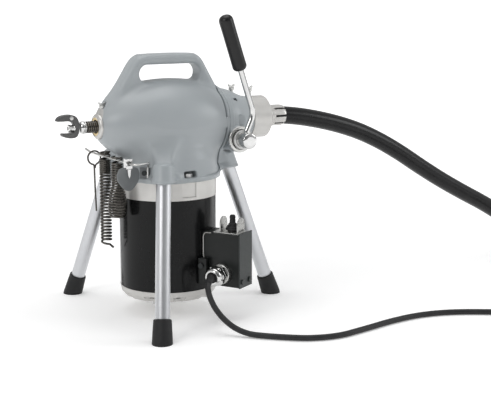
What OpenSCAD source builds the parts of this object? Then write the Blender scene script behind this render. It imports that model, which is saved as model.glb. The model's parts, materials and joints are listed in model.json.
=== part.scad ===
// Drain snake machine: a hollow-spindle cable driver on three tube legs.
// Machine frame: the motor axis is the vertical line x = y = 0, the floor is z = 0
// and the cable runs along x, with the nose at -x and the hose at +x.
// at_origin() moves the machine so that the centre of its footprint is the origin.

/* [Cable and spindle] */
// Height of the cable axis above the floor
axis_z = 256; // [250:1:262]
// Diameter of the drain cable
cable_d = 16; // [15:0.5:16.5]
// Outside diameter of the hollow spindle
spindle_d = 30; // [29:0.5:31]
// Outside diameter of the rear guide hose
hose_d = 25; // [24:0.5:26]

/* [Housing] */
// Largest radius of the egg-shaped housing
mid_r = 58; // [56:0.5:60]
// Distance from the motor axis to the theoretical point of the nose
nose_len = 106; // [104:1:108]
// Distance from the motor axis to the theoretical point of the tail
tail_len = 107.7; // [106:0.5:109]
// Wall thickness of the castings
wall = 5; // [4:0.5:6]
// Radius of the skirt that sits on the motor
skirt_r = 71; // [69:1:73]
// Thickness of the carrying handle
handle_t = 29; // [26:1:32]

/* [Motor] */
// Outside diameter of the motor shell
motor_d = 130; // [128:1:132]
// Height of the shell's lower edge above the floor
shell_z0 = 38; // [36:1:40]
// Height of the shell's upper edge above the floor
shell_z1 = 160; // [158:1:162]

/* [Legs] */
// Outside diameter of the leg tube
leg_d = 19.05; // [18:0.05:20]
// Distance from the motor axis to a foot's centre on the floor
foot_r = 164.6; // [160:0.5:168]
// Lean of each leg from the vertical
leg_tilt = 20.5; // [20:0.1:21]

/* [Clutch] */
// Distance of the lever shaft behind the motor axis
lever_x = 88; // [87:0.5:89]
// Height of the lever shaft
lever_z = 232; // [231:0.5:233]
// Slope of the chuck jaws
jaw_slope = 15; // [14:0.5:16]

/* [Bevel gears] */
// Teeth on the pinion
pinion_teeth = 12; // [12:1:12]
// Teeth on the gear
gear_teeth = 51; // [51:1:51]
// Tooth module at the large end
gear_module = 1.7; // [1.6:0.05:1.75]

/* [Hidden] */
$fn = 64;

// Clearances
run = 0.05;            // radial running clearance of shafts in bores
gap = 0.4;             // room between bodies that only pass each other

// Cable line, from the cutter to the hose
cutter_tip_x = -157;
cutter_back_x = -125;
coupling_x = -117.5;
collar_x0 = -103.5;
collar_x1 = -99;
nose_screw_x = -93;
seam_x = 73.5;
seam_bore = 35.5;
seam_screw_r = 37.5;
rear_end_x = 119;
cap_x0 = 120;
cap_x1 = 148;
cap_end_x = 155.5;
collet_ring_x = 162;
collet_end_x = 181;
centre_x = (cutter_tip_x + collet_end_x) / 2;
cable_r = cable_d / 2;
spindle_r = spindle_d / 2;
spindle_bore = cable_r + 1;
hose_r = hose_d / 2;

// Bearings: inner radius, outer radius, start and width along their shaft
front_bearing = [spindle_r + run, 23.5, -76, 9];
rear_bearing = [spindle_r + run, 27.5, 20, 13];
upper_bearing = [6 + run, 16, 168, 10];
lower_bearing = [6 + run, 14, 29, 8];

// Chuck head of the spindle and its jaws
head_r = 24;
head_x0 = 38;
head_x1 = 62;
jaw_x0 = 48;
jaw_x1 = 68.4;
jaw_inner = cable_r + 1.4;
jaw_outer0 = 14;
jaw_w = 9;
jaw_travel = 4;

// Lever, its shaft and its cams
shaft_r = 6;
cam_r = 9;
cam_throw = 4.6;
cam_y0 = 15;
cam_w = 6;
boss_r = 18;
boss_y = -45;
lever_y = -60;
hub_r = 11;
lever_boss_y1 = 38;
plate_x1 = lever_x - cam_r - gap;
plate_t = 3.6;
plate_x0 = plate_x1 - plate_t;
thrust_x0 = jaw_x1 + gap;
sleeve_r = 13;
sleeve_end_x = 110;
rod_r = 4;
rod_bend = [99, 267];
rod_tip = [57, 391];
grip_from = [79.2, 325.5];
grip_to = [54.8, 397.5];
grip_r = 9.6;

// Motor
motor_r = motor_d / 2;
shell_t = 2.5;
bell_top_z = 184;
bell_base_z = 24;
bolt_circle = 53;
core_z0 = 62;
core_z1 = 138;
rotor_r = 37.4;

// Bolts between the skirt and the motor
skirt_z = 184;
skirt_bolt_angles = [-90, 30, 150];
skirt_bolt_r = 60;
notch_z0 = 190;
notch_z1 = 198;

// Legs
leg_angles = [0, 120, -120];
leg_r = leg_d / 2;
leg_in = 8;
leg_top_s = 218;
boss_s0 = 196;
boss_s1 = 224;
leg_boss_r = 14;
web_t = 26;
boss_z0 = 189.5;
foot_len = 30;

// Switch box, in its own frame: x away from the motor, y across, z up
box_angle = -60;
box_x0 = 64;
box_x1 = 120;
box_y0 = -15;
box_y1 = 18;
box_z0 = 46;
box_z1 = 116;
sheet_t = 1.6;
gland_x = 93.5;
gland_z = 63;
gland_from = 15;
gland_len = 27;
toggle_x = 100;
toggle_y = 1.5;
ear_x = [87, 113];
guard_x0 = 78;
guard_len = 38;
cover_screw_y = [-8, 11];
cover_screw_z = 53;
boot_cavity_r = 8.2;
boot_clear = 2.3;

// Tool rod and the tools that hang on it
hang_x = -81;
hang_z = 213;
hang_r = 1.5;
eye_r = 2.2;
spade_y = -50;
bulb_y = -16;
straight_y = 22;
key_y = 57;
key_ring_r = 9.2;
key_wire_r = 1.3;
key_drop = 6;
key_tip_z = 133.5;

// Free lengths: the route points are centre lines in the machine frame
cord_r = 3.75;
hose_route = [
    [166, 0, 256], [184, 0, 255.2], [213, 0, 251.5], [248, 0, 244.6], [284, 0, 235.2], [320, 0, 223],
    [357, 0, 206.5], [395, 0, 186], [435, 0, 162], [477, 0, 138], [521, 0, 115], [565, 0, 93],
    [605, 0, 71], [645, 0, 51], [685, 0, 34], [720, 0, 22], [750, 0, 15], [780, 0, 12.5]
];
hose_coil = [780, -150, 0];
hose_coil_in = 112.5;
hose_coil_out = 162.5;
cord_route = [
    [13.8, -100, 63], [6.3, -105, 62], [-0.2, -111.5, 58], [-4, -119, 51.2], [-4.8, -127, 42],
    [-2.5, -136, 31], [3, -147, 20], [11.5, -160, 10.5], [23.5, -175, 5], [39, -191, 4], [57, -208, 4],
    [78, -224, 4], [102, -233, 4], [126, -235, 4], [150, -231, 4], [176, -226, 4], [204, -220, 4],
    [232, -216, 4], [260, -215, 4], [288, -219, 4], [314, -228, 4], [338, -241, 4], [362, -257, 4],
    [386, -274, 4], [410, -291, 4], [434, -304, 4], [456, -311, 4], [470, -312, 4]
];
cord_coil = [470, -260, 0];
cord_coil_in = 26;
cord_coil_out = 56;
cord_coil_h = 23;
plug_route = [
    [522, -260, 19], [522.5, -245, 19], [524, -230, 18], [524, -214, 17]
];
plug_axis_z = 17;

// Colours
paint_grey = [0.66, 0.69, 0.71];
cast_silver = [0.78, 0.77, 0.75];
tube_silver = [0.75, 0.76, 0.78];
steel = [0.62, 0.62, 0.62];
bright = [0.86, 0.86, 0.86];
dark_steel = [0.24, 0.22, 0.2];
black = [0.07, 0.07, 0.08];
rubber_grey = [0.13, 0.13, 0.14];
box_black = [0.1, 0.11, 0.11];
cover_grey = [0.33, 0.36, 0.36];
brass_tone = [0.66, 0.57, 0.38];
copper = [0.72, 0.4, 0.22];

// ---- Placement ----
module at_origin() translate([-centre_x, 0, 0]) children();
// Along the cable: local z runs towards the hose, local x points down
module on_cable(x = 0) translate([x, 0, axis_z]) rotate([0, 90, 0]) children();
// Along a leg: local z runs up the leg from the floor
module on_leg(a) rotate([0, 0, a]) translate([foot_r, 0, 0]) rotate([0, -leg_tilt, 0]) children();
module in_box() rotate([0, 0, box_angle]) children();
// Along the gland: local z runs out of the switch box
module on_gland(n) in_box() translate([gland_x, -n, gland_z]) rotate([90, 0, 0]) children();
// Across the machine: local z runs from -y to +y through a point of the xz plane
module across(x, z, y0 = 0) translate([x, y0, z]) rotate([-90, 0, 0]) children();
// A flat outline drawn in x and z, given a thickness along y about y = y0
module slab(t, y0 = 0) translate([0, y0 + t / 2, 0]) rotate([90, 0, 0]) linear_extrude(t) children();
module ring(r0, r1, h) difference() {
    cylinder(r = r1, h = h);
    translate([0, 0, -1]) cylinder(r = r0, h = h + 2);
}
module bearing(b) difference() {
    ring(b[0], b[1], b[3]);
    for (z = [-1, b[3] - 0.8]) translate([0, 0, z]) ring(b[0] + 2.5, b[1] - 2.5, 1.8);
}
module hex(af, h) cylinder(d = af / cos(30), h = h, $fn = 6);
module rod_between(p, q, r) {
    d = q - p;
    len = norm(d);
    translate(p) rotate([0, acos(d[2] / len), atan2(d[1], d[0])]) cylinder(r = r, h = len);
}
module bent_rod(points, r) {
    for (i = [0:len(points) - 2]) rod_between(points[i], points[i + 1], r);
    for (i = [1:len(points) - 2]) translate(points[i]) sphere(r = r + 0.05);
}

// ---- Outlines ----
function egg_r(x) = mid_r * pow(1 - pow(x / (x < 0 ? nose_len : tail_len), 2), 0.6);
function egg(x0, x1, inset, steps = 18) =
    [for (i = [0:steps]) let (x = x0 + (x1 - x0) * i / steps) [egg_r(x) - inset, x]];

// ---- Bevel teeth (Tredgold's approximation, sections scaled towards the apex) ----
pitch_pinion = atan(pinion_teeth / gear_teeth);
pitch_gear = 90 - pitch_pinion;
cone_dist = gear_module * gear_teeth / 2 / sin(pitch_gear);
face_ratio = 0.73;
addendum = 0.75 * gear_module;
dedendum = 1.1 * gear_module;
backlash = 0.22;
pressure = 20;
function involute(a) = tan(a) * 180 / PI - a;
// Half of a tooth's angle about its own axis, at height h over the pitch cone
function half_tooth(teeth, cone, h) =
    let (rv = gear_module * teeth / 2 / cos(cone), rho = rv + h)
    let (roll = acos(min(1, rv * cos(pressure) / rho)))
    let (psi = 90 * cos(cone) / teeth * (1 - backlash) + involute(pressure) - involute(roll))
    psi * rho / (cone_dist * sin(cone + h / cone_dist * 180 / PI));
function cone_at(cone, h) = tan(cone + h / cone_dist * 180 / PI);
tooth_heights = [-dedendum, -0.5 * gear_module, 0, 0.4 * gear_module, addendum];
// Section of the toothed wheel at unit distance from the apex
function tooth_section(teeth, cone) = [
    for (i = [0:teeth - 1]) let (mid = 360 * i / teeth)
        for (side = [-1, 1], k = [0:4])
            let (h = tooth_heights[side < 0 ? k : 4 - k], a = mid + side * half_tooth(teeth, cone, h))
                cone_at(cone, h) * [cos(a), sin(a)]
];
// Toothed frustum with its apex at the origin, between two distances along z
module toothed(teeth, cone, near, far)
    translate([0, 0, far]) mirror([0, 0, 1])
        linear_extrude(height = far - near, scale = near / far)
            scale(far) polygon(tooth_section(teeth, cone));

// ---- Housing castings ----
module skirt_solid()
    rotate_extrude() polygon(concat(
        [[0, skirt_z], [skirt_r, skirt_z], [skirt_r, skirt_z + 6]],
        [[skirt_r - 3.5, skirt_z + 6.6], [skirt_r - 4.5, skirt_z + 14], [skirt_r - 6, skirt_z + 28]],
        [[61, skirt_z + 44], [52, skirt_z + 58], [0, skirt_z + 60]]));
module leg_boss(a) difference() {
    union() {
        on_leg(a) translate([0, 0, boss_s0]) cylinder(r = leg_boss_r, h = boss_s1 - boss_s0);
        rotate([0, 0, a]) slab(web_t) polygon([[51, 186], [90, 186], [90, 205], [81, 214], [70, 223], [60, 231], [51, 231]]);
    }
    translate([-130, -130, boss_z0 - 30]) cube([260, 260, 30]);
}
module handle_outline() polygon([
    [-92, 276], [-87.5, 287.5], [-80, 297.5], [-73, 306.5], [-65.5, 317.5], [-56, 332.5], [-51.5, 338.5], [-47, 343],
    [-41.5, 346], [-36, 347.2], [0, 347.8], [35, 347], [40, 345.8], [45, 342.7], [49.5, 338], [55, 329], [62.5, 316],
    [69, 305], [73, 300], [77, 297], [77, 280], [-20, 262]]);
module handle_opening() hull() {
    translate([-32, 321.5]) circle(r = 12);
    translate([33, 321.5]) circle(r = 12);
}
module housing_body() {
    on_cable() rotate_extrude() polygon(concat(
        [[0, collar_x1]], egg(collar_x1, 68, 0), [[43, 69.5], [43, seam_x], [0, seam_x]]));
    skirt_solid();
    for (a = leg_angles) leg_boss(a);
    difference() {
        slab(handle_t) handle_outline();
        slab(handle_t + 2) handle_opening();
    }
}
module housing_cavity() difference() {
    union() {
        on_cable() rotate_extrude() polygon(concat([[0, -84]], egg(-84, 62, wall), [[0, 62]]));
        translate([0, 0, skirt_z - 1]) cylinder(r = 50, h = 50);
    }
    on_cable(-80) cylinder(r = 60, h = 14);
    on_cable(18) cylinder(r = 60, h = 18);
}
module seam_slots() on_cable(67.5) difference() {
    ring(39.6, 50, 2);
    for (a = [30, 150, 270]) rotate([0, 0, a]) translate([0, -7, -1]) cube([60, 14, 4]);
}
module skirt_notches() for (a = skirt_bolt_angles) rotate([0, 0, a])
    translate([53, -9, notch_z0]) cube([30, 18, notch_z1 - notch_z0]);
module housing_bores() {
    on_cable(-100) cylinder(r = 12 + run, h = 6);
    on_cable(-95) cylinder(r = spindle_r + 1, h = 30);
    translate([nose_screw_x, 0, 268]) cylinder(r = 2.5 + run, h = 20);
    translate([nose_screw_x, 0, 279.2]) cylinder(r = 5.8, h = 20);
    on_cable(front_bearing[2]) cylinder(r = front_bearing[1] + run, h = front_bearing[3] + 20);
    on_cable(rear_bearing[2] - 3) cylinder(r = rear_bearing[1] + run, h = rear_bearing[3] + 3);
    on_cable(30) cylinder(r = spindle_r + 2, h = 10);
    on_cable(36) cylinder(r = seam_bore, h = 40);
    for (a = leg_angles) on_leg(a) translate([0, 0, boss_s0 - 12]) cylinder(r = leg_r + run, h = leg_top_s - boss_s0 + 12);
    for (a = skirt_bolt_angles) rotate([0, 0, a]) translate([skirt_bolt_r, 0, skirt_z - 1]) cylinder(r = 3 + run, h = 10);
    seam_screws(1.6 + run, 0);
    hanger_bores();
}
module main_housing() color(paint_grey) at_origin() difference() {
    housing_body();
    on_cable(seam_x) cylinder(r = 43 + gap / 2, h = 20);
    housing_cavity();
    seam_slots();
    skirt_notches();
    housing_bores();
}
module rear_housing() color(paint_grey) at_origin() difference() {
    union() {
        on_cable() rotate_extrude() polygon([
            [0, seam_x], [43, seam_x], [43, 79.5], [42, 80.5], [41.5, 86], [37, 98], [31, 111], [29.7, rear_end_x],
            [0, rear_end_x]]);
        difference() {
            across(lever_x, lever_z, boss_y) cylinder(r = boss_r, h = lever_boss_y1 - boss_y);
            translate([seam_x - 10, -60, 200]) cube([10, 120, 60]);
        }
    }
    on_cable() rotate_extrude() polygon([
        [0, 72.5], [seam_bore, 72.5], [seam_bore, 76.5], [34.4, 78], [34.2, 86], [31, 98], [28, 102],
        [sleeve_r + run, 102], [sleeve_r + run, 112], [22 + run, 112], [22 + run, 122], [0, 122]]);
    across(lever_x, lever_z, -24) cylinder(r = 14, h = 48);
    across(lever_x, lever_z, boss_y - 1) cylinder(r = shaft_r + run, h = 90);
    seam_screws(1.6 + run, 2.8 + run);
    translate([88.5, -50, 248]) cube([14.5, 15, 16]);
    translate([99.7, 0, 284]) cylinder(r = 2.5 + run, h = 20);
}
module rear_cap() color(cast_silver) at_origin() difference() {
    on_cable() rotate_extrude() polygon([
        [0, 113], [22, 113], [22, cap_x0], [28, cap_x0], [29, cap_x0 + 1], [29, cap_x1], [19, cap_end_x],
        [0, cap_end_x]]);
    on_cable(112) cylinder(r = sleeve_r + 1, h = 8);
    on_cable(112) cylinder(r = spindle_bore + 1, h = 60);
    on_cable(146) cylinder(r = 13 + run, h = 20);
    translate([128.3, 0, 276]) cylinder(r = 2.5 + run, h = 20);
}
module nose_collar() color(cast_silver) at_origin() difference() {
    on_cable() rotate_extrude() polygon(concat(
        [[0, collar_x0], [13.4, collar_x0]],
        [for (i = [0:3]) [13.4 + 3.5 * sin(30 * i), collar_x1 - 4 * cos(30 * i)]],
        [[0, collar_x1]]));
    on_cable(-110) cylinder(r = 12 + run, h = 20);
}
module nose_bushing() color(brass_tone) at_origin() on_cable() rotate_extrude()
    polygon([[spindle_bore, -103], [12, -103], [12, -95.5], [spindle_bore, -95.5]]);
module hose_collet() color(bright) at_origin() difference() {
    on_cable() rotate_extrude() polygon([
        [spindle_bore + 1, 147], [13, 147], [13, cap_end_x], [15.2, cap_end_x], [15.2, collet_ring_x],
        [14.6, collet_ring_x + 1], [14.6, collet_end_x - 3], [13.8, collet_end_x], [hose_r + 0.2, collet_end_x],
        [hose_r + 0.2, collet_ring_x + 1], [spindle_bore + 1, collet_ring_x + 1]]);
    for (a = [0:45:315]) on_cable(collet_ring_x + 1.5) rotate([0, 0, a])
        translate([0, -1.5, 0]) cube([20, 3, 20]);
}
module seam_screws(shank_r, seat_r) for (a = [45:90:315]) on_cable(64.5) rotate([0, 0, a])
    translate([seam_screw_r, 0, 0]) {
        cylinder(r = shank_r, h = 13);
        translate([0, 0, 13]) cylinder(r = seat_r, h = 12);
    }
module rear_housing_screws() color(steel) at_origin() for (a = [45:90:315]) on_cable(64.5) rotate([0, 0, a])
    translate([seam_screw_r, 0, 0]) {
        cylinder(r = 1.6, h = 13);
        translate([0, 0, 13]) cylinder(r = 2.8, h = 3);
    }

// ---- Motor ----
module motor_top_bell() color(cast_silver) at_origin() difference() {
    union() {
        translate([0, 0, shell_z1]) cylinder(r = motor_r + 0.5, h = bell_top_z - shell_z1);
        translate([0, 0, shell_z1 - 4]) cylinder(r = motor_r - shell_t - run, h = 5);
        translate([0, 0, bell_top_z]) cylinder(r = 49.9, h = 5);
    }
    translate([0, 0, shell_z1 - 5]) cylinder(r = 58, h = 11);
    translate([0, 0, shell_z1 + 5]) ring(22, 58, 13);
    translate([0, 0, upper_bearing[2] - 12]) cylinder(r = upper_bearing[1] + run, h = upper_bearing[3] + 12);
    translate([0, 0, 170]) cylinder(r = 8, h = 30);
    for (a = [-91, 29, 149]) rotate([0, 0, a]) translate([motor_r - 1.4, -10, 164]) cube([8, 20, 21]);
    for (a = skirt_bolt_angles) rotate([0, 0, a]) translate([skirt_bolt_r, 0, 172]) cylinder(r = 3 + run, h = 20);
    for (a = [45:90:315]) rotate([0, 0, a]) translate([bolt_circle, 0, 150]) cylinder(r = 2.5 + run, h = 33);
}
module motor_shell() color(black) at_origin() translate([0, 0, shell_z0])
    ring(motor_r - shell_t, motor_r, shell_z1 - shell_z0);
module motor_bottom_bell() color(cast_silver) at_origin() difference() {
    union() {
        rotate_extrude() polygon([[0, bell_base_z], [59, bell_base_z], [64, bell_base_z + 6], [65.5, shell_z0], [0, shell_z0]]);
        translate([0, 0, shell_z0 - 1]) cylinder(r = motor_r - shell_t - run, h = 5);
    }
    difference() {
        translate([0, 0, bell_base_z + 4]) cylinder(r = 57.5, h = 40);
        translate([0, 0, bell_base_z + 3]) cylinder(r = 19, h = 11);
    }
    translate([0, 0, lower_bearing[2]]) cylinder(r = lower_bearing[1] + run, h = 20);
    for (a = [0:36:324]) rotate([0, 0, a + 4]) translate([66, 0, bell_base_z - 1]) cylinder(r = 9, h = 8);
    for (a = [45:90:315]) rotate([0, 0, a]) translate([bolt_circle, 0, 20]) cylinder(r = 2.5 + run, h = 10);
}
module stator_core() color(steel) at_origin() translate([0, 0, core_z0]) difference() {
    ring(38, motor_r - shell_t - run, core_z1 - core_z0);
    for (a = [45:90:315]) rotate([0, 0, a]) translate([bolt_circle, 0, -1]) cylinder(r = 3, h = 80);
}
module stator_windings() color(copper) at_origin() for (z = [48, core_z1]) translate([0, 0, z])
    rotate_extrude() polygon([[41, 0], [47, 0], [49.5, 3], [49.5, 11], [47, 14], [41, 14], [39.5, 11], [39.5, 3]]);
module motor_through_bolts() color(steel) at_origin() for (a = [45:90:315]) rotate([0, 0, a])
    translate([bolt_circle, 0, 0]) {
        translate([0, 0, bell_base_z - 4]) hex(8, 4);
        translate([0, 0, bell_base_z]) cylinder(r = 2.5, h = 158);
    }
module ball_bearings() color(steel) at_origin() {
    on_cable(front_bearing[2]) bearing(front_bearing);
    on_cable(rear_bearing[2]) bearing(rear_bearing);
    translate([0, 0, upper_bearing[2]]) bearing(upper_bearing);
    translate([0, 0, lower_bearing[2]]) bearing(lower_bearing);
}
module motor_mounting_bolts() color(steel) at_origin() for (a = skirt_bolt_angles) rotate([0, 0, a])
    translate([skirt_bolt_r, 0, 0]) {
        translate([0, 0, notch_z0]) hex(10, 5);
        translate([0, 0, 173]) cylinder(r = 3, h = notch_z0 - 173);
    }
module rotor_shaft() color(steel) at_origin() {
    translate([0, 0, 30]) cylinder(r = 6, h = 150);
    translate([0, 0, 180]) cylinder(r = 4.5, h = 44);
}
module rotor_core() color(steel) at_origin() translate([0, 0, core_z0]) ring(6, rotor_r, core_z1 - core_z0);
module cooling_fan() color(rubber_grey) at_origin() difference() {
    union() {
        translate([0, 0, 39]) cylinder(r = 10, h = 7);
        translate([0, 0, 45]) cylinder(r = 44, h = 1.5);
        for (a = [0:40:320]) rotate([0, 0, a]) translate([9, -0.9, 39]) cube([34, 1.8, 6.5]);
    }
    translate([0, 0, 30]) cylinder(r = 6, h = 30);
}
module pinion() color(steel) at_origin() difference() {
    union() {
        intersection() {
            translate([0, 0, axis_z]) rotate([180, 0, 0])
                toothed(pinion_teeth, pitch_pinion, cone_dist * cos(pitch_pinion) * face_ratio, 45);
            pinion_blank();
        }
        translate([0, 0, 203]) cylinder(r = 8, h = 11);
    }
    translate([0, 0, 190]) cylinder(r = 4.5, h = 50);
}
module pinion_blank() {
    big = cone_dist * cos(pitch_pinion);
    translate([0, 0, axis_z - big - 0.5]) cylinder(r = 14, h = big * (1 - face_ratio) + 1);
}

// ---- Spindle, gear, chuck and cable ----
module jaw_outline(x0, x1, inner, extra) polygon([
    [x0, inner], [x0, jaw_outer0 + (x0 - jaw_x0) * tan(jaw_slope) + extra],
    [x1, jaw_outer0 + (x1 - jaw_x0) * tan(jaw_slope) + extra], [x1, inner]]);
// An outline in distance along the cable and radius, standing above the cable and turned by a
module radial(a, t) translate([0, 0, axis_z]) rotate([a, 0, 0]) slab(t) children();
module drive_spindle() color(steel) at_origin() difference() {
    on_cable() rotate_extrude() polygon([
        [spindle_bore, -92], [spindle_r, -92], [spindle_r, head_x0], [head_r - 2, head_x0], [head_r, head_x0 + 2],
        [head_r, head_x1], [spindle_bore, head_x1]]);
    for (a = [0, 120, 240]) radial(a, jaw_w + 2 * run) jaw_outline(jaw_x0 - 5, head_x1 + 1, 0, 2 * run);
}
module drive_gear() color(steel) at_origin() difference() {
    union() {
        intersection() {
            translate([0, 0, axis_z]) rotate([0, 90, 0]) rotate([0, 0, 180 / gear_teeth])
                toothed(gear_teeth, pitch_gear, 6, 13);
            on_cable() rotate_extrude() polygon([
                [spindle_r, 10], [30, 10], tip_point(face_ratio), tip_point(1), tip_point(1) + [0, 4.2], [spindle_r, 13]]);
        }
        on_cable(12.5) cylinder(r = 41.5, h = 4.5);
        on_cable(12.5) cylinder(r = 21, h = 7.3);
    }
    on_cable(0) cylinder(r = spindle_r, h = 30);
}
// Corner of the gear's tooth tips, as radius and distance along the cable, at a share of the cone distance
function tip_point(share) = share * [
    cone_dist * sin(pitch_gear) + addendum * cos(pitch_gear),
    cone_dist * cos(pitch_gear) - addendum * sin(pitch_gear)];
module jaw(a) color(bright) at_origin() radial(a, jaw_w) jaw_outline(jaw_x0, jaw_x1, jaw_inner, 0);
module clutch_jaw_1() jaw(0);
module clutch_jaw_2() jaw(120);
module clutch_jaw_3() jaw(240);
module cable_section() color(dark_steel) at_origin() on_cable(coupling_x) cylinder(r = cable_r, h = 160 - coupling_x);
module cable_coupling() color(bright) at_origin() on_cable() rotate_extrude() polygon([
    [0, cutter_back_x], [6.5, cutter_back_x], [8, cutter_back_x + 2], [8, -121], [7, -120], [8, -119],
    [8, coupling_x], [0, coupling_x]]);
module c_cutter() color(rubber_grey) at_origin() translate([0, 0, axis_z]) {
    slab(11) polygon([
        [cutter_tip_x, 9.8], [-154.8, 13.6], [-151.2, 16], [-146, 17.2], [-139.5, 17.6], [-135, 16.9],
        [-131.5, 15.2], [-129, 12.4], [-127.5, 8.6], [-126.8, 4], [-126.8, -0.5], [-127.6, -5], [-128.8, -8.6],
        [-130.8, -11], [-134, -12.1], [-138.5, -12.4], [-143.5, -11.6], [-148, -10.3], [-150, -8.2],
        [-149.6, -5.9], [-145, -6.2], [-140, -6.4], [-136.5, -5.7], [-133.8, -3.8], [-132.7, -1],
        [-132.6, 2], [-133.6, 4.8], [-136, 7.6], [-139, 9], [-143, 9.6], [-149, 9.6]]);
    translate([cutter_back_x - 8, 0, 0]) rotate([0, 90, 0]) cylinder(r = 5, h = 8);
}
module thrust_sleeve() color(steel) at_origin() difference() {
    union() {
        on_cable(plate_x0) cylinder(r = 22, h = plate_t);
        translate([plate_x0, -19, axis_z - 28]) cube([plate_t, 38, 28]);
        on_cable(plate_x0) cylinder(r = sleeve_r, h = sleeve_end_x - plate_x0);
    }
    on_cable(0) cylinder(r = spindle_bore + 1, h = 200);
}
module thrust_bearing() color(steel) at_origin() on_cable() rotate_extrude() polygon([
    [spindle_bore + 1.2, thrust_x0], [20, thrust_x0], [20, thrust_x0 + 2], [18.5, thrust_x0 + 2.3],
    [18.5, plate_x0 - 2.3], [20, plate_x0 - 2], [20, plate_x0], [spindle_bore + 1.2, plate_x0]]);

// ---- Clutch lever ----
module lever_shaft() color(steel) at_origin() {
    across(lever_x, lever_z, boss_y - 21) cylinder(r = shaft_r, h = lever_boss_y1 - boss_y + 23);
    for (y = [-cam_y0 - cam_w, cam_y0]) across(lever_x, lever_z - cam_throw, y) cylinder(r = cam_r, h = cam_w);
}
module lever_hub() color(bright) at_origin() across(lever_x, lever_z, 0) difference() {
    rotate_extrude() polygon(concat(
        [[shaft_r, -46.5], [13, -46.5], [13, -49], [hub_r, -50], [hub_r, -66]],
        [for (i = [1:4]) [hub_r * cos(90 * i / 4), -66 - 5 * sin(90 * i / 4)]],
        [[0, -67], [shaft_r, -67]]));
    translate([0, 0, lever_y]) rotate([90, 0, 0]) cylinder(r = rod_r, h = 20);
}
module lever_rod() color(bright) at_origin() difference() {
    bent_rod([[lever_x, lever_y, lever_z + 6], [lever_x, lever_y, lever_z + 12],
        [rod_bend[0], lever_y, rod_bend[1]], [rod_tip[0], lever_y, rod_tip[1]]], rod_r);
    across(lever_x, lever_z, -70) cylinder(r = shaft_r, h = 20);
}
module lever_grip() color(black) at_origin() {
    d = grip_to - grip_from;
    difference() {
        translate([grip_from[0], lever_y, grip_from[1]]) rotate([0, atan2(d[0], d[1]), 0]) rotate_extrude()
            polygon(concat(
                [[0, 0]],
                [for (i = [0:4]) [grip_r - 6 + 6 * sin(90 * i / 4), 6 - 6 * cos(90 * i / 4)]],
                [for (i = [0:4]) [grip_r - 8 + 8 * cos(90 * i / 4), norm(d) - 8 + 8 * sin(90 * i / 4)]],
                [[0, norm(d)]]));
        rod_between([rod_bend[0], lever_y, rod_bend[1]], [rod_tip[0], lever_y, rod_tip[1]], rod_r);
    }
}
module release_spring() color(dark_steel) at_origin() across(lever_x, lever_z, 0)
    for (i = [-2:2]) translate([0, 0, 1.8 * i]) rotate_extrude() translate([8.2, 0]) circle(r = 0.8);

// ---- Legs and feet ----
module legs() color(tube_silver) at_origin() for (a = leg_angles) on_leg(a) translate([0, 0, leg_in])
    ring(leg_r - 1.5, leg_r, leg_top_s - leg_in);
module feet() color(rubber_grey) at_origin() difference() {
    for (a = leg_angles) on_leg(a) rotate_extrude()
        polygon([[0, -8], [12.4, -8], [13.2, 0], [12.6, 12], [11.6, foot_len - 1], [11, foot_len], [0, foot_len]]);
    for (a = leg_angles) on_leg(a) translate([0, 0, leg_in]) cylinder(r = leg_r, h = 40);
    translate([-300, -300, -40]) cube([600, 600, 40]);
}

// ---- Switch box ----
module switch_box() color(box_black) at_origin() in_box() {
    difference() {
        translate([box_x0, box_y0, box_z0]) cube([box_x1 - box_x0 - sheet_t, box_y1 - box_y0, box_z1 - box_z0]);
        translate([box_x0 + 3, box_y0 + sheet_t, box_z0 + sheet_t])
            cube([box_x1 - box_x0, box_y1 - box_y0 - 2 * sheet_t, box_z1 - box_z0 - 2 * sheet_t]);
        cylinder(r = motor_r, h = 200);
        translate([gland_x, box_y0 + 5, gland_z]) rotate([90, 0, 0]) cylinder(r = 8 + run, h = 10);
        translate([toggle_x, toggle_y, box_z1 - 5]) cylinder(r = 6 + run, h = 10);
    }
    difference() {
        for (y = cover_screw_y) translate([box_x1 - 12, y, cover_screw_z]) rotate([0, 90, 0])
            cylinder(r = 5.6, h = 12 - sheet_t);
        cover_screws(2 + run, 0);
    }
    difference() {
        translate([62, box_y0 - 8, 47]) cube([12, 9, 35]);
        cylinder(r = motor_r, h = 200);
        translate([66, box_y0 - 4, 72]) rotate([90, 0, 0]) cylinder(r = 2, h = 20, center = true);
    }
}
module cover_screws(shank_r, head_r) for (y = cover_screw_y) translate([box_x1 - 10, y, cover_screw_z])
    rotate([0, 90, 0]) {
        cylinder(r = shank_r, h = 10);
        translate([0, 0, 10]) cylinder(r = head_r, h = 2);
    }
module switch_box_cover() color(cover_grey) at_origin() in_box() difference() {
    translate([box_x1 - sheet_t, box_y0, box_z0 - 1]) cube([sheet_t, box_y1 - box_y0, box_z1 - box_z0 + 3]);
    cover_screws(2 + run, 3);
}
module tab_screw() translate([66, box_y0 - 8, 72]) rotate([90, 0, 0]) {
    cylinder(r = 3.6, h = 2);
    translate([0, 0, -7]) cylinder(r = 2, h = 7);
}
module panel_screws() color(steel) at_origin() {
    in_box() cover_screws(2, 3.6);
    in_box() tab_screw();
    hanger_screw();
}
module switch_guard() color(bright) at_origin() in_box() difference() {
    union() {
        translate([guard_x0, -12, box_z1]) cube([guard_len, 24, sheet_t]);
        for (x = ear_x) translate([x, 0, box_z1]) rotate([90, 0, 90]) linear_extrude(sheet_t, center = true) {
            translate([-9, 0]) square([18, 12]);
            translate([0, 12]) circle(r = 9);
        }
    }
    translate([toggle_x, toggle_y, box_z1 - 5]) cylinder(r = 6 + run, h = 10);
}
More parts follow.
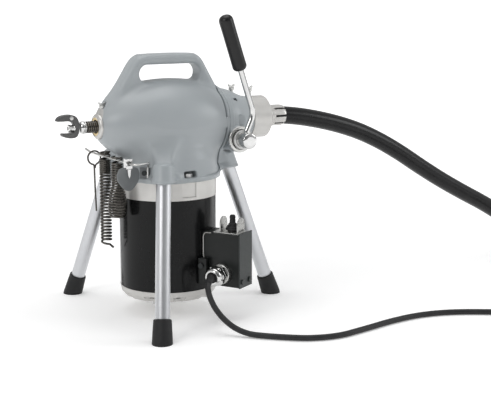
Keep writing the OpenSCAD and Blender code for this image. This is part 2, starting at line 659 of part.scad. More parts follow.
module switch_body() color(rubber_grey) at_origin() in_box() difference() {
    union() {
        translate([toggle_x - 14, toggle_y - 9, box_z1 - 32]) cube([28, 18, 30]);
        translate([toggle_x, toggle_y, box_z1 - 3]) cylinder(r = 6, h = 3 + sheet_t);
        translate([toggle_x, toggle_y, box_z1 + sheet_t]) cylinder(r = 6.6, h = 3);
    }
    translate([toggle_x, toggle_y, box_z1 - 8]) cylinder(r = 3.8, h = 20);
}
module toggle_lever() color(bright) at_origin() in_box() translate([toggle_x, toggle_y, 0]) {
    translate([0, 0, box_z1 - 6]) cylinder(r = 2.2, h = 25);
    translate([-3, 0, box_z1 + sheet_t]) rotate([0, 90, 0]) cylinder(r = 1.2, h = 6);
}
module toggle_boot() color(black) at_origin() in_box() translate([toggle_x, toggle_y, box_z1 + sheet_t]) difference() {
    rotate_extrude() polygon([
        [0, boot_clear], [9.4, boot_clear], [9.4, 4.5], [8, 7.5], [5, 10], [3.9, 11.5], [3.9, 20], [3, 21.8], [0, 22]]);
    sphere(r = boot_cavity_r);
    cylinder(r = 2.2, h = 25 - 6 - sheet_t);
}
module cable_gland() color(bright) at_origin() on_gland(0) difference() {
    union() {
        translate([0, 0, gland_from - 4]) cylinder(r = 8, h = gland_len - 6);
        translate([0, 0, gland_from]) cylinder(r = 13, h = 4);
        translate([0, 0, gland_from + 4]) hex(23, 7);
    }
    cylinder(r = 6, h = 60);
}
module gland_nut() color(bright) at_origin() on_gland(gland_from + 11) difference() {
    union() {
        hex(24, gland_len - 13);
        translate([0, 0, gland_len - 13]) cylinder(r = 11, h = 2);
    }
    translate([0, 0, -1]) cylinder(r = 8, h = 7);
    cylinder(r = 7.8, h = 40);
}
module gland_grommet() color(rubber_grey) at_origin() on_gland(gland_from + gland_len - 8) difference() {
    cylinder(r = 7.8, h = 6.5);
    translate([0, 0, -4.5]) cylinder(r = 8, h = 4);
}

// ---- Thumb screws ----
module thumb_screw(x, z, shank) at_origin() translate([x, 0, z]) {
    translate([0, 0, -shank]) cylinder(r = 2.5, h = shank);
    cylinder(r = 4, h = 3);
    slab(2) polygon([[-3, 3], [-5, 6], [-4.6, 8], [-2.4, 7.2], [0, 5], [2.4, 7.2], [4.6, 8], [5, 6], [3, 3]]);
}
module nose_thumb_screw() color(bright) thumb_screw(nose_screw_x, 279.5, 8);
module housing_thumb_screw() color(bright) thumb_screw(99.7, 294.6, 8);
module cap_thumb_screw() color(bright) thumb_screw(128.3, 291.3, 14);

// ---- Tool rod and tools ----
plate_angle = -141.5;
plate_r = 67.5;
module on_plate() rotate([0, 0, plate_angle]) translate([plate_r, 0, 197.5]) rotate([0, 90, 0]) children();
module hanger_bores() on_plate() translate([0, 0, -12]) cylinder(r = 2 + run, h = 14);
module hanger_plate() color(bright) at_origin() difference() {
    on_plate() translate([-7, -7, 0]) cube([14, 14, 2.4]);
    on_plate() translate([0, 0, -5]) cylinder(r = 2 + run, h = 14);
}
module hanger_screw() on_plate() {
    translate([0, 0, 2.4]) cylinder(r = 3.2, h = 2.6);
    translate([0, 0, -11]) cylinder(r = 2, h = 13.4);
}
module hanger_rod() color(steel) at_origin() bent_rod([
    [-52.7, -48.5, 192], [-52.7, -48.5, 206], [-56, -61, hang_z], [hang_x + 6, -69, hang_z],
    [hang_x, -65, hang_z], [hang_x, 68, hang_z], [hang_x - 1, 83, hang_z + 3]], hang_r);
module eye_bore(y) across(hang_x, hang_z, y - 12) cylinder(r = eye_r, h = 24);
module tool_neck(y, r, top, bottom) translate([hang_x, y, hang_z - bottom]) cylinder(r = r, h = top + bottom);
module straight_auger() color(dark_steel) at_origin() difference() {
    union() {
        tool_neck(straight_y, 7.6, 8, 24);
        translate([hang_x, straight_y, 92]) cylinder(r = 7.9, h = hang_z - 24 - 92);
    }
    eye_bore(straight_y);
}
module bulb_auger() color(dark_steel) at_origin() difference() {
    translate([hang_x, bulb_y, hang_z]) rotate_extrude() polygon([
        [0, 5], [7.6, 5], [7.6, -32], [9, -38], [11, -46], [12.6, -56], [12.8, -64], [11.6, -72], [8.5, -77], [0, -77]]);
    eye_bore(bulb_y);
}
module spade_cutter() color(cover_grey) at_origin() difference() {
    union() {
        translate([hang_x, 0, 0]) slab(3, spade_y) polygon([
            [-13, 206], [-8, 207.5], [8, 207.5], [13, 205.5], [15.2, 200], [14.6, 192], [11.5, 186],
            [6, 179.5], [0, 177.5], [-6, 180], [-11.5, 186], [-15.2, 192], [-16, 199]]);
        tool_neck(spade_y, 4.6, 7, 19);
    }
    eye_bore(spade_y);
}
module pin_key() color(dark_steel) at_origin() {
    across(hang_x, hang_z - key_drop, key_y) rotate_extrude() translate([key_ring_r, 0]) circle(r = key_wire_r);
    translate([hang_x, key_y, key_tip_z]) cylinder(r = key_wire_r, h = hang_z - key_drop - key_ring_r - key_tip_z);
}

// ---- Free lengths ----
function unit(v) = v / norm(v);
function route_dir(p, i) = unit(p[min(i + 1, len(p) - 1)] - p[max(i - 1, 0)]);
// Rings across the route; each ring's frame has one arm level and square to the route
function route_ring(p, i, r, sides) =
    let (d = route_dir(p, i), u = unit(cross(d, [0, 0, 1])), v = cross(u, d))
    [for (k = [0:sides - 1]) p[i] + r * (cos(360 * k / sides) * u + sin(360 * k / sides) * v)];
module swept(p, r, sides) {
    n = len(p);
    points = [for (i = [0:n - 1]) each route_ring(p, i, r, sides)];
    walls = [for (i = [0:n - 2], k = [0:sides - 1])
        let (j = (k + 1) % sides) [i * sides + k, i * sides + j, (i + 1) * sides + j, (i + 1) * sides + k]];
    start = [for (k = [sides - 1:-1:0]) k];
    stop = [for (k = [0:sides - 1]) (n - 1) * sides + k];
    polyhedron(points = points, faces = concat([start], walls, [stop]), convexity = 4);
}
module guide_hose() color(rubber_grey) at_origin() swept(hose_route, hose_r, 12);
module guide_hose_coil() color(rubber_grey) at_origin() translate(hose_coil)
    ring(hose_coil_in, hose_coil_out, hose_d);
module power_cord() color(rubber_grey) at_origin() {
    swept(cord_route, cord_r, 8);
    swept(plug_route, cord_r, 8);
}
module power_cord_coil() color(rubber_grey) at_origin() translate(cord_coil) ring(cord_coil_in, cord_coil_out, cord_coil_h);
module power_plug() color(rubber_grey) at_origin() translate([524, -214, plug_axis_z]) rotate([-90, 0, 0]) {
    rotate_extrude() polygon([
        [0, 0], [5, 0], [6.5, 22], [13, 27], [16, 33], [16.5, 50], [15.5, 54], [0, 54]]);
    for (x = [-6.4, 6.4]) translate([x - 0.75, -3.2, 54]) cube([1.5, 6.4, 18]);
    translate([0, 8.5, 54]) cylinder(r = 2.4, h = 20);
}

main_housing();
rear_housing();
rear_cap();
nose_collar();
nose_bushing();
hose_collet();
rear_housing_screws();
motor_top_bell();
motor_shell();
motor_bottom_bell();
stator_core();
stator_windings();
motor_through_bolts();
ball_bearings();
motor_mounting_bolts();
legs();
feet();
switch_box();
switch_box_cover();
panel_screws();
switch_guard();
switch_body();
cable_gland();
gland_nut();
gland_grommet();
hanger_rod();
hanger_plate();
release_spring();
rotor_shaft();
rotor_core();
cooling_fan();
pinion();
drive_spindle();
drive_gear();
clutch_jaw_1();
clutch_jaw_2();
clutch_jaw_3();
cable_section();
cable_coupling();
c_cutter();
thrust_sleeve();
thrust_bearing();
lever_shaft();
lever_hub();
lever_rod();
lever_grip();
toggle_lever();
toggle_boot();
nose_thumb_screw();
housing_thumb_screw();
cap_thumb_screw();
pin_key();
straight_auger();
bulb_auger();
spade_cutter();
guide_hose();
guide_hose_coil();
power_cord();
power_cord_coil();
power_plug();
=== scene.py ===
"""The drain snake machine's looks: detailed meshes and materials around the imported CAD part."""

import json
import math

import bmesh
import bpy
import numpy as np
from mathutils import Matrix, Vector


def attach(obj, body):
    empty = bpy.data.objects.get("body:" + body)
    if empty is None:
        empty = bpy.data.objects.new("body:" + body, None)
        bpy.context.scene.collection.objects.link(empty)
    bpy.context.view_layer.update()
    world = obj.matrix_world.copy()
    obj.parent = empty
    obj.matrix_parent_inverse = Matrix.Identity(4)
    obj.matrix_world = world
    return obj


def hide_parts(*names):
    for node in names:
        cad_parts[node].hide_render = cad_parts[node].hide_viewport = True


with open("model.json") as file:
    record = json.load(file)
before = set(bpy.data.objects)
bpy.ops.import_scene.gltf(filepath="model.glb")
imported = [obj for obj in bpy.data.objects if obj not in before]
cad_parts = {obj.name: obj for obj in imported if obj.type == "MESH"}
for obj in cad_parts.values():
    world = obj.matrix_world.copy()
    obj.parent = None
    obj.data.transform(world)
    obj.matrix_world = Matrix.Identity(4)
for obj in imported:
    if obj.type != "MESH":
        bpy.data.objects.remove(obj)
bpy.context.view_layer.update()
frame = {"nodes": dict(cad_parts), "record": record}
NODES = frame["nodes"]
RECORD = frame["record"]

# Sizes and places are in millimetres in the machine's own frame: the motor's axis is x = y = 0
MM = 0.001
CENTRE_X = 12
AXIS_Z = 256
LEVER = (88, -60, 232)
GRIP_RUN = (-24.4, 72)  # from the grip's foot to its top, in x and z
HANG_X, HANG_Z = -81, 213
KEY_Y, STRAIGHT_Y, BULB_Y, SPADE_Y = 57, 22, -16, -50
LEG_ANGLES = (0, 120, -120)
BOLT_ANGLES = (-90, 30, 150)
SEAM_X, SEAM_R = 73.5, 43  # the joint between the two painted castings
SOCKET_R, SPINDLE_BORE_R, LEG_BORE_R = 14, 15.8, 9.7
NOSE_X, REAR_END_X = -98.9, 119
NOSE_SCREW = (-93, 0, 279.2)
COUPLING_X, CUTTER_BACK_X = -117.5, -125


# ---------------------------------------------------------------- places
def at(x, y, z):
    """A point of the machine's frame as a point of the row frame, in metres."""
    return Vector(((x - CENTRE_X) * MM, y * MM, z * MM))


def machine(origin=(0, 0, 0), rotation=None):
    """The matrix that takes a piece drawn in millimetres about origin into the row frame."""
    turn = rotation.to_4x4() if rotation else Matrix.Identity(4)
    return Matrix.Translation(at(*origin)) @ Matrix.Scale(MM, 4) @ turn


def turned(axis, degrees):
    return Matrix.Rotation(math.radians(degrees), 3, axis)


ALONG_CABLE = turned("Y", 90)  # local z runs towards the hose
TOWARDS_FRONT = turned("X", 90)  # local z runs towards -y
BOX_TURN = turned("Z", -60)


def in_box(x, y, z):
    """A point of the switch box's own frame in the machine's frame."""
    return tuple(BOX_TURN @ Vector((x, y, z)))


def on_leg(angle, s):
    """The point at s up a leg's centre line, and the leg's direction."""
    tilt, a = math.radians(20.5), math.radians(angle)
    reach = 164.6 - s * math.sin(tilt)
    point = Vector((reach * math.cos(a), reach * math.sin(a), s * math.cos(tilt)))
    along = Vector((-math.sin(tilt) * math.cos(a), -math.sin(tilt) * math.sin(a), math.cos(tilt)))
    return point, along


# ---------------------------------------------------------------- materials
def blank(name):
    mat = bpy.data.materials.new(name)
    mat.use_nodes = True
    tree = mat.node_tree
    return mat, tree, tree.nodes["Principled BSDF"]


def link(tree, out, into):
    tree.links.new(out, into)


def noise(tree, scale, detail=3.0, rough=0.55, stretch=None):
    """Noise over the object's own coordinates, which are in metres."""
    coords = tree.nodes.new("ShaderNodeTexCoord")
    node = tree.nodes.new("ShaderNodeTexNoise")
    node.inputs["Scale"].default_value = scale
    node.inputs["Detail"].default_value = detail
    node.inputs["Roughness"].default_value = rough
    if stretch:
        mapping = tree.nodes.new("ShaderNodeMapping")
        mapping.inputs["Scale"].default_value = stretch
        link(tree, coords.outputs["Object"], mapping.inputs["Vector"])
        link(tree, mapping.outputs["Vector"], node.inputs["Vector"])
    else:
        link(tree, coords.outputs["Object"], node.inputs["Vector"])
    return node.outputs["Fac"]


def spread(tree, value, low, high, start=0.3, stop=0.7):
    """Maps a 0 to 1 value onto low to high."""
    node = tree.nodes.new("ShaderNodeMapRange")
    node.inputs["From Min"].default_value = start
    node.inputs["From Max"].default_value = stop
    node.inputs["To Min"].default_value = low
    node.inputs["To Max"].default_value = high
    link(tree, value, node.inputs["Value"])
    return node.outputs["Result"]


def tint(tree, value, dark, light):
    node = tree.nodes.new("ShaderNodeMix")
    node.data_type = "RGBA"
    node.inputs["A"].default_value = (*dark, 1)
    node.inputs["B"].default_value = (*light, 1)
    link(tree, value, node.inputs["Factor"])
    return node.outputs["Result"]


def bumps(tree, height, strength, distance, edge=None):
    """Bump from a height, over rounded edges where edge is their radius in metres."""
    node = tree.nodes.new("ShaderNodeBump")
    node.inputs["Strength"].default_value = strength
    node.inputs["Distance"].default_value = distance
    link(tree, height, node.inputs["Height"])
    if edge:
        bevel = tree.nodes.new("ShaderNodeBevel")
        bevel.samples = 4
        bevel.inputs["Radius"].default_value = edge
        link(tree, bevel.outputs["Normal"], node.inputs["Normal"])
    return node.outputs["Normal"]


def finish_of(name, dark, light, rough, metal=0.0, grain=900, depth=0.00006, strength=0.25, edge=0.0005,
              blotch=24, stretch=None, coat=0.0, specular=0.5):
    """A finish with slow colour changes, uneven gloss and a fine grain, over softened edges."""
    mat, tree, shader = blank(name)
    slow = noise(tree, blotch, 4.0)
    fine = noise(tree, grain, 2.0, stretch=stretch)
    link(tree, tint(tree, spread(tree, slow, 0, 1), dark, light), shader.inputs["Base Color"])
    link(tree, spread(tree, noise(tree, blotch * 6, 5.0), rough[0], rough[1]), shader.inputs["Roughness"])
    link(tree, bumps(tree, fine, strength, depth, edge), shader.inputs["Normal"])
    shader.inputs["Metallic"].default_value = metal
    shader.inputs["Coat Weight"].default_value = coat
    shader.inputs["Coat Roughness"].default_value = 0.12
    shader.inputs["Specular IOR Level"].default_value = specular
    return mat


def reckon(tree, operation, first, second):
    """A maths node; each input is a number or a socket."""
    node = tree.nodes.new("ShaderNodeMath")
    node.operation = operation
    for socket, value in zip(node.inputs, (first, second)):
        if isinstance(value, (int, float)):
            socket.default_value = value
        else:
            link(tree, value, socket)
    return node.outputs["Value"]


def bare_nose(tree):
    """One where the nose is left bare metal: ahead of a line that leans back above the cable."""
    coords = tree.nodes.new("ShaderNodeTexCoord")
    split = tree.nodes.new("ShaderNodeSeparateXYZ")
    link(tree, coords.outputs["Object"], split.inputs["Vector"])
    above = reckon(tree, "SUBTRACT", split.outputs["Z"], 0.262)
    lean = reckon(tree, "MAXIMUM", reckon(tree, "MULTIPLY", above, 0.36), 0.0)
    ahead = reckon(tree, "SUBTRACT", reckon(tree, "ADD", lean, -0.1128), split.outputs["X"])
    ragged = reckon(tree, "MULTIPLY", noise(tree, 260), 0.0006)
    return spread(tree, reckon(tree, "ADD", ahead, ragged), 0, 1, -0.0004, 0.0006)


def housing_paint():
    """Machine enamel over a die casting: satin, with a soft orange peel, and bare metal at the nose."""
    mat, tree, shader = blank("housing_paint")
    slow = spread(tree, noise(tree, 14, 4.0), 0, 1)
    bare = bare_nose(tree)
    paint = tint(tree, slow, (0.335, 0.365, 0.38), (0.365, 0.39, 0.405))
    mix = tree.nodes.new("ShaderNodeMix")
    mix.data_type = "RGBA"
    link(tree, bare, mix.inputs["Factor"])
    link(tree, paint, mix.inputs["A"])
    link(tree, tint(tree, slow, (0.58, 0.57, 0.55), (0.66, 0.65, 0.63)), mix.inputs["B"])
    link(tree, mix.outputs["Result"], shader.inputs["Base Color"])
    link(tree, spread(tree, bare, 0, 0.8, 0, 1), shader.inputs["Metallic"])
    link(tree, spread(tree, noise(tree, 120, 4.0), 0.36, 0.46), shader.inputs["Roughness"])
    peel = tree.nodes.new("ShaderNodeMath")
    peel.operation = "MULTIPLY_ADD"
    peel.inputs[1].default_value = 0.35
    link(tree, noise(tree, 1500, 2.0), peel.inputs[0])
    link(tree, noise(tree, 260, 2.0), peel.inputs[2])
    link(tree, bumps(tree, peel.outputs["Value"], 0.22, 0.00012), shader.inputs["Normal"])
    link(tree, spread(tree, bare, 0.2, 0, 0, 1), shader.inputs["Coat Weight"])
    shader.inputs["Coat Roughness"].default_value = 0.22
    return mat


STREAKS = (1, 1, 0.03)
FINISHES = {
    "housing_paint": housing_paint(),
    "cast_aluminium": finish_of("cast_aluminium", (0.56, 0.55, 0.53), (0.66, 0.65, 0.63), (0.34, 0.46), 0.6,
                                grain=700, depth=0.0001, edge=0.0007),
    "leg_aluminium": finish_of("leg_aluminium", (0.63, 0.64, 0.66), (0.67, 0.68, 0.70), (0.37, 0.43), 0.95,
                               grain=2600, depth=0.00003, blotch=9, stretch=STREAKS),
    "steel": finish_of("steel", (0.50, 0.50, 0.50), (0.62, 0.62, 0.61), (0.28, 0.42), 1.0),
    "lamination_steel": finish_of("lamination_steel", (0.28, 0.28, 0.29), (0.38, 0.38, 0.38), (0.4, 0.55),
                                  0.9, stretch=(1, 1, 30)),
    "spring_steel": finish_of("spring_steel", (0.075, 0.070, 0.064), (0.16, 0.15, 0.135), (0.20, 0.34), 0.9,
                              grain=1500, blotch=160),
    "cutter_steel": finish_of("cutter_steel", (0.06, 0.06, 0.062), (0.12, 0.12, 0.118), (0.3, 0.42), 0.6,
                              grain=1300),
    "spade_steel": finish_of("spade_steel", (0.17, 0.18, 0.185), (0.22, 0.23, 0.235), (0.42, 0.55), 0.6,
                             grain=1800),
    "chrome": finish_of("chrome", (0.60, 0.60, 0.60), (0.70, 0.70, 0.69), (0.08, 0.17), 1.0, grain=600,
                        depth=0.00002),
    "zinc_plate": finish_of("zinc_plate", (0.52, 0.52, 0.51), (0.66, 0.66, 0.64), (0.22, 0.34), 0.95),
    "brass": finish_of("brass", (0.52, 0.40, 0.20), (0.66, 0.53, 0.30), (0.25, 0.4), 1.0),
    "winding_copper": finish_of("winding_copper", (0.42, 0.17, 0.07), (0.6, 0.27, 0.12), (0.25, 0.4), 0.9,
                                stretch=(1, 1, 40)),
    "shell_black": finish_of("shell_black", (0.004, 0.0043, 0.0046), (0.007, 0.0073, 0.0076), (0.17, 0.24),
                             grain=240, depth=0.00002, strength=0.15, specular=0.2),
    "box_black": finish_of("box_black", (0.008, 0.0095, 0.009), (0.012, 0.014, 0.0135), (0.28, 0.38), 0.0,
                           grain=1600, depth=0.00005, specular=0.3),
    "cover_grey": finish_of("cover_grey", (0.028, 0.033, 0.033), (0.037, 0.042, 0.042), (0.34, 0.44), 0.0,
                            grain=1600, specular=0.35),
    "rubber": finish_of("rubber", (0.014, 0.014, 0.015), (0.022, 0.022, 0.023), (0.5, 0.66), 0.0, grain=1400,
                        depth=0.0001, edge=0.0008, specular=0.3),
    "hose_black": finish_of("hose_black", (0.005, 0.005, 0.0055), (0.009, 0.009, 0.0095), (0.26, 0.34), 0.0,
                            grain=420, depth=0.00012, blotch=60, specular=0.25),
    "cord_rubber": finish_of("cord_rubber", (0.020, 0.020, 0.021), (0.030, 0.030, 0.031), (0.44, 0.56), 0.0,
                             grain=1100, blotch=80, specular=0.3),
    "grip_black": finish_of("grip_black", (0.006, 0.006, 0.0065), (0.010, 0.010, 0.0105), (0.28, 0.36), 0.0,
                            grain=1300, depth=0.00008, specular=0.35),
    "switch_plastic": finish_of("switch_plastic", (0.012, 0.012, 0.012), (0.02, 0.02, 0.02), (0.35, 0.5)),
}


def paint_frame():
    """Gives every CAD node the finish of the slot that the record names for it."""
    for part in RECORD["subparts"]:
        mesh = NODES[part["node"]].data
        mesh.materials.clear()
        mesh.materials.append(FINISHES[part["material_slot"]])


# ---------------------------------------------------------------- mesh makers
def piece(name, verts, faces, matrix, slot, body, *nodes, smooth=40.0, bevel=0.0, steps=3):
    """A mesh in millimetres, placed by matrix, that rides on a body and may stand for CAD nodes."""
    mesh = bpy.data.meshes.new(name)
    mesh.from_pydata([tuple(v) for v in verts], [], [tuple(f) for f in faces])
    mesh.transform(matrix)
    obj = bpy.data.objects.new(name, mesh)
    bpy.context.scene.collection.objects.link(obj)
    tidy = bmesh.new()
    tidy.from_mesh(mesh)
    bmesh.ops.recalc_face_normals(tidy, faces=tidy.faces)
    tidy.to_mesh(mesh)
    tidy.free()
    mesh.materials.append(FINISHES[slot])
    if bevel:
        soften = obj.modifiers.new("bevel", "BEVEL")
        soften.width = bevel * MM
        soften.segments = steps
        soften.limit_method = "ANGLE"
        soften.angle_limit = math.radians(32)
    mesh.shade_smooth()
    mesh.set_sharp_from_angle(angle=math.radians(smooth))
    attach(obj, body)
    if nodes:
        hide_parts(*nodes)
    return obj


def rounded(profile, radius, steps=4):
    """A profile with its inner corners rounded; a corner's own third number overrides the radius."""
    out = [profile[0][:2]]
    for i in range(1, len(profile) - 1):
        p, a, b = (Vector(q[:2]) for q in (profile[i], profile[i - 1], profile[i + 1]))
        r = profile[i][2] if len(profile[i]) > 2 else radius
        u, v = (a - p), (b - p)
        if u.length < 1e-6 or v.length < 1e-6 or r <= 0:
            out.append(tuple(p))
            continue
        reach = min(r, u.length * 0.45, v.length * 0.45)
        start, stop = p + u.normalized() * reach, p + v.normalized() * reach
        for k in range(steps + 1):
            t = k / steps
            out.append(tuple((1 - t) ** 2 * start + 2 * t * (1 - t) * p + t * t * stop))
    out.append(profile[-1][:2])
    return out


def lathe(profile, segments=64):
    """Verts and faces of (r, z) points turned about local z; points with r = 0 close the ends."""
    verts, faces, rings = [], [], []
    for r, z in profile:
        if r < 1e-6:
            rings.append([len(verts)])
            verts.append((0, 0, z))
        else:
            rings.append(list(range(len(verts), len(verts) + segments)))
            for k in range(segments):
                a = 2 * math.pi * k / segments
                verts.append((r * math.cos(a), r * math.sin(a), z))
    for a, b in zip(rings, rings[1:]):
        for k in range(segments):
            j = (k + 1) % segments
            ring = [a[k % len(a)], a[j % len(a)], b[j % len(b)], b[k % len(b)]]
            corners = list(dict.fromkeys(ring))
            if len(corners) > 2:
                faces.append(corners)
    return verts, faces


def tube(path, radius, sides=10):
    """Verts and faces of a round wire along a path, with closed and rounded ends."""
    p = np.asarray(path, float)
    r = np.broadcast_to(np.asarray(radius, float), len(p)).copy()
    d = np.gradient(p, axis=0)
    d /= np.linalg.norm(d, axis=1)[:, None]
    side = np.cross(d[0], (0.31, 0.22, 0.92))
    side /= np.linalg.norm(side)
    verts, faces = [], []
    angles = 2 * np.pi * np.arange(sides) / sides
    for i in range(len(p)):
        side = side - d[i] * (side @ d[i])
        side /= np.linalg.norm(side)
        up = np.cross(d[i], side)
        verts += list(p[i] + r[i] * (np.outer(np.cos(angles), side) + np.outer(np.sin(angles), up)))
    for i in range(len(p) - 1):
        for k in range(sides):
            j = (k + 1) % sides
            faces.append((i * sides + k, i * sides + j, (i + 1) * sides + j, (i + 1) * sides + k))
    for end, base, sign in ((0, 0, -1), (len(p) - 1, (len(p) - 1) * sides, 1)):
        tip = len(verts)
        verts.append(p[end] + sign * d[end] * r[end] * 0.5)
        for k in range(sides):
            faces.append((base + k, base + (k + 1) % sides, tip))
    return verts, faces


def curve_through(points, steps=6):
    """A Catmull-Rom curve through points of any dimension."""
    p = np.asarray(points, float)
    q = np.vstack([2 * p[0] - p[1], p, 2 * p[-1] - p[-2]])
    out = []
    for i in range(1, len(q) - 2):
        a, b, c, d = q[i - 1:i + 3]
        for k in range(steps):
            t = k / steps
            out.append(0.5 * (2 * b + (c - a) * t + (2 * a - 5 * b + 4 * c - d) * t**2
                              + (3 * b - a - 3 * c + d) * t**3))
    out.append(p[-1])
    return np.array(out)


def filleted(points, radius, steps=6):
    """A path of straight runs with its bends rounded."""
    p = [Vector(q) for q in points]
    out = [p[0]]
    for i in range(1, len(p) - 1):
        u, v = p[i - 1] - p[i], p[i + 1] - p[i]
        reach = min(radius, u.length * 0.45, v.length * 0.45)
        start, stop = p[i] + u.normalized() * reach, p[i] + v.normalized() * reach
        out += [(1 - t) ** 2 * start + 2 * t * (1 - t) * p[i] + t * t * stop
                for t in (k / steps for k in range(steps + 1))]
    out.append(p[-1])
    return [tuple(q) for q in out]


def prism(outline, thickness):
    """Verts and faces of a flat outline in local x and y, thickness thick about z = 0."""
    n = len(outline)
    verts = [(x, y, -thickness / 2) for x, y in outline] + [(x, y, thickness / 2) for x, y in outline]
    faces = [tuple(range(n))[::-1], tuple(range(n, 2 * n))]
    faces += [(i, (i + 1) % n, n + (i + 1) % n, n + i) for i in range(n)]
    return verts, faces


def joined(*meshes):
    verts, faces = [], []
    for v, f in meshes:
        base = len(verts)
        verts += [tuple(q) for q in v]
        faces += [tuple(base + k for k in face) for face in f]
    return verts, faces


def moved(mesh, matrix):
    return [tuple(matrix @ Vector(v)) for v in mesh[0]], mesh[1]


# ---------------------------------------------------------------- castings from distance fields
def smooth_union(a, b, reach):
    h = np.clip(0.5 + 0.5 * (b - a) / reach, 0, 1)
    return b * (1 - h) + a * h - reach * h * (1 - h)


def smooth_cut(a, b, reach):
    return -smooth_union(-a, b, reach)


def turned_solid(across, along, profile):
    """Distance to a solid of revolution whose radius follows (place, radius) points."""
    places, radii = np.array(profile, float).T
    radius = np.interp(along, places, radii)
    slope = np.gradient(radii, places)
    lean = np.sqrt(1 + np.interp(along, places, slope) ** 2)
    return np.maximum((across - radius) / lean, np.maximum(places[0] - along, along - places[-1]))


def rod_field(grid, start, stop, radius, round_by=0.0):
    """Distance to a cylinder with flat ends and rounded rims."""
    a, b = np.array(start, float), np.array(stop, float)
    length = np.linalg.norm(b - a)
    d = (b - a) / length
    rel = [g - o for g, o in zip(grid, a)]
    t = sum(r * k for r, k in zip(rel, d))
    reach = np.sqrt(np.maximum(sum(r * r for r in rel) - t * t, 0))
    rim, face = reach - radius + round_by, np.maximum(-t, t - length) + round_by
    return np.hypot(np.maximum(rim, 0), np.maximum(face, 0)) + np.minimum(np.maximum(rim, face), 0) - round_by


def box_field(x, y, z, low, high, round_by=0.0):
    parts = [np.maximum(a - g, g - b) + round_by for g, a, b in zip((x, y, z), low, high)]
    outside = np.sqrt(sum(np.maximum(p, 0) ** 2 for p in parts))
    return outside + np.minimum(np.maximum(np.maximum(parts[0], parts[1]), parts[2]), 0) - round_by


def outline_field(u, v, outline):
    """Signed distance to a closed outline, on flat arrays."""
    p = np.asarray(outline, float)
    best = np.full(u.shape, 1e9)
    inside = np.zeros(u.shape, bool)
    for (ax, ay), (bx, by) in zip(p, np.roll(p, -1, axis=0)):
        ex, ey = bx - ax, by - ay
        t = np.clip(((u - ax) * ex + (v - ay) * ey) / (ex * ex + ey * ey), 0, 1)
        best = np.minimum(best, np.hypot(u - ax - t * ex, v - ay - t * ey))
        if ay != by:
            inside ^= ((ay > v) != (by > v)) & (u < (bx - ax) * (v - ay) / (by - ay) + ax)
    return np.where(inside, -best, best)


def skin(field, xs, ys, zs):
    """The surface where a field on a grid is zero, as one vertex a cell and one quad a crossed edge."""
    axes = (xs, ys, zs)
    shape = field.shape
    inside = field < 0
    total = np.zeros([n - 1 for n in shape] + [3])
    count = np.zeros([n - 1 for n in shape])
    crossings = []
    for axis in range(3):
        low = [slice(None)] * 3
        high = [slice(None)] * 3
        low[axis], high[axis] = slice(0, -1), slice(1, None)
        f0, f1 = field[tuple(low)], field[tuple(high)]
        hit = np.argwhere(inside[tuple(low)] != inside[tuple(high)])
        i, j, k = hit.T
        a, b = f0[i, j, k], f1[i, j, k]
        share = a / (a - b)
        point = np.stack([axes[n][hit[:, n]] for n in range(3)], axis=1).astype(float)
        point[:, axis] += share * (axes[axis][hit[:, axis] + 1] - axes[axis][hit[:, axis]])
        others = [n for n in range(3) if n != axis]
        for du in (0, 1):
            for dv in (0, 1):
                cell = hit.copy()
                cell[:, others[0]] -= du
                cell[:, others[1]] -= dv
                ok = np.all((cell >= 0) & (cell < np.array(count.shape)), axis=1)
                index = tuple(cell[ok].T)
                np.add.at(total, index, point[ok])
                np.add.at(count, index, 1)
        crossings.append((axis, others, hit, inside[tuple(low)][i, j, k]))
    used = count > 0
    number = np.full(count.shape, -1)
    number[used] = np.arange(used.sum())
    verts = total[used] / count[used][:, None]
    faces = []
    for axis, others, hit, starts_inside in crossings:
        corners = []
        for du, dv in ((0, 0), (1, 0), (1, 1), (0, 1)):
            cell = hit.copy()
            cell[:, others[0]] -= du
            cell[:, others[1]] -= dv
            corners.append(number[tuple(np.clip(cell, 0, np.array(count.shape) - 1).T)])
        quad = np.stack(corners, axis=1)
        flip = starts_inside if axis != 1 else ~starts_inside
        quad[~flip] = quad[~flip][:, ::-1]
        faces.append(quad)
    return verts, np.vstack(faces)


def steps_between(*stops):
    """Grid places from (place, spacing) pairs: each spacing holds up to the next place."""
    out = []
    for (a, spacing), (b, _) in zip(stops, stops[1:]):
        n = max(1, round((b - a) / spacing))
        out += [a + (b - a) * i / n for i in range(n)]
    out.append(stops[-1][0])
    return np.array(out)


def relaxed(verts, faces, rounds=2):
    """Evens the grid's stair steps out with a volume-keeping pair of smoothing passes."""
    edges = np.vstack([faces[:, [i, (i + 1) % 4]] for i in range(4)])
    degree = np.bincount(edges.ravel(), minlength=len(verts))[:, None]
    for amount in (0.5, -0.52) * rounds:
        total = np.zeros_like(verts)
        np.add.at(total, edges[:, 0], verts[edges[:, 1]])
        np.add.at(total, edges[:, 1], verts[edges[:, 0]])
        verts = verts + amount * (total / degree - verts)
    return verts


def egg_radius(x):
    half = np.where(x < 0, 106.0, 107.7)
    return 58 * np.maximum(1 - (x / half) ** 2, 0.0) ** 0.6


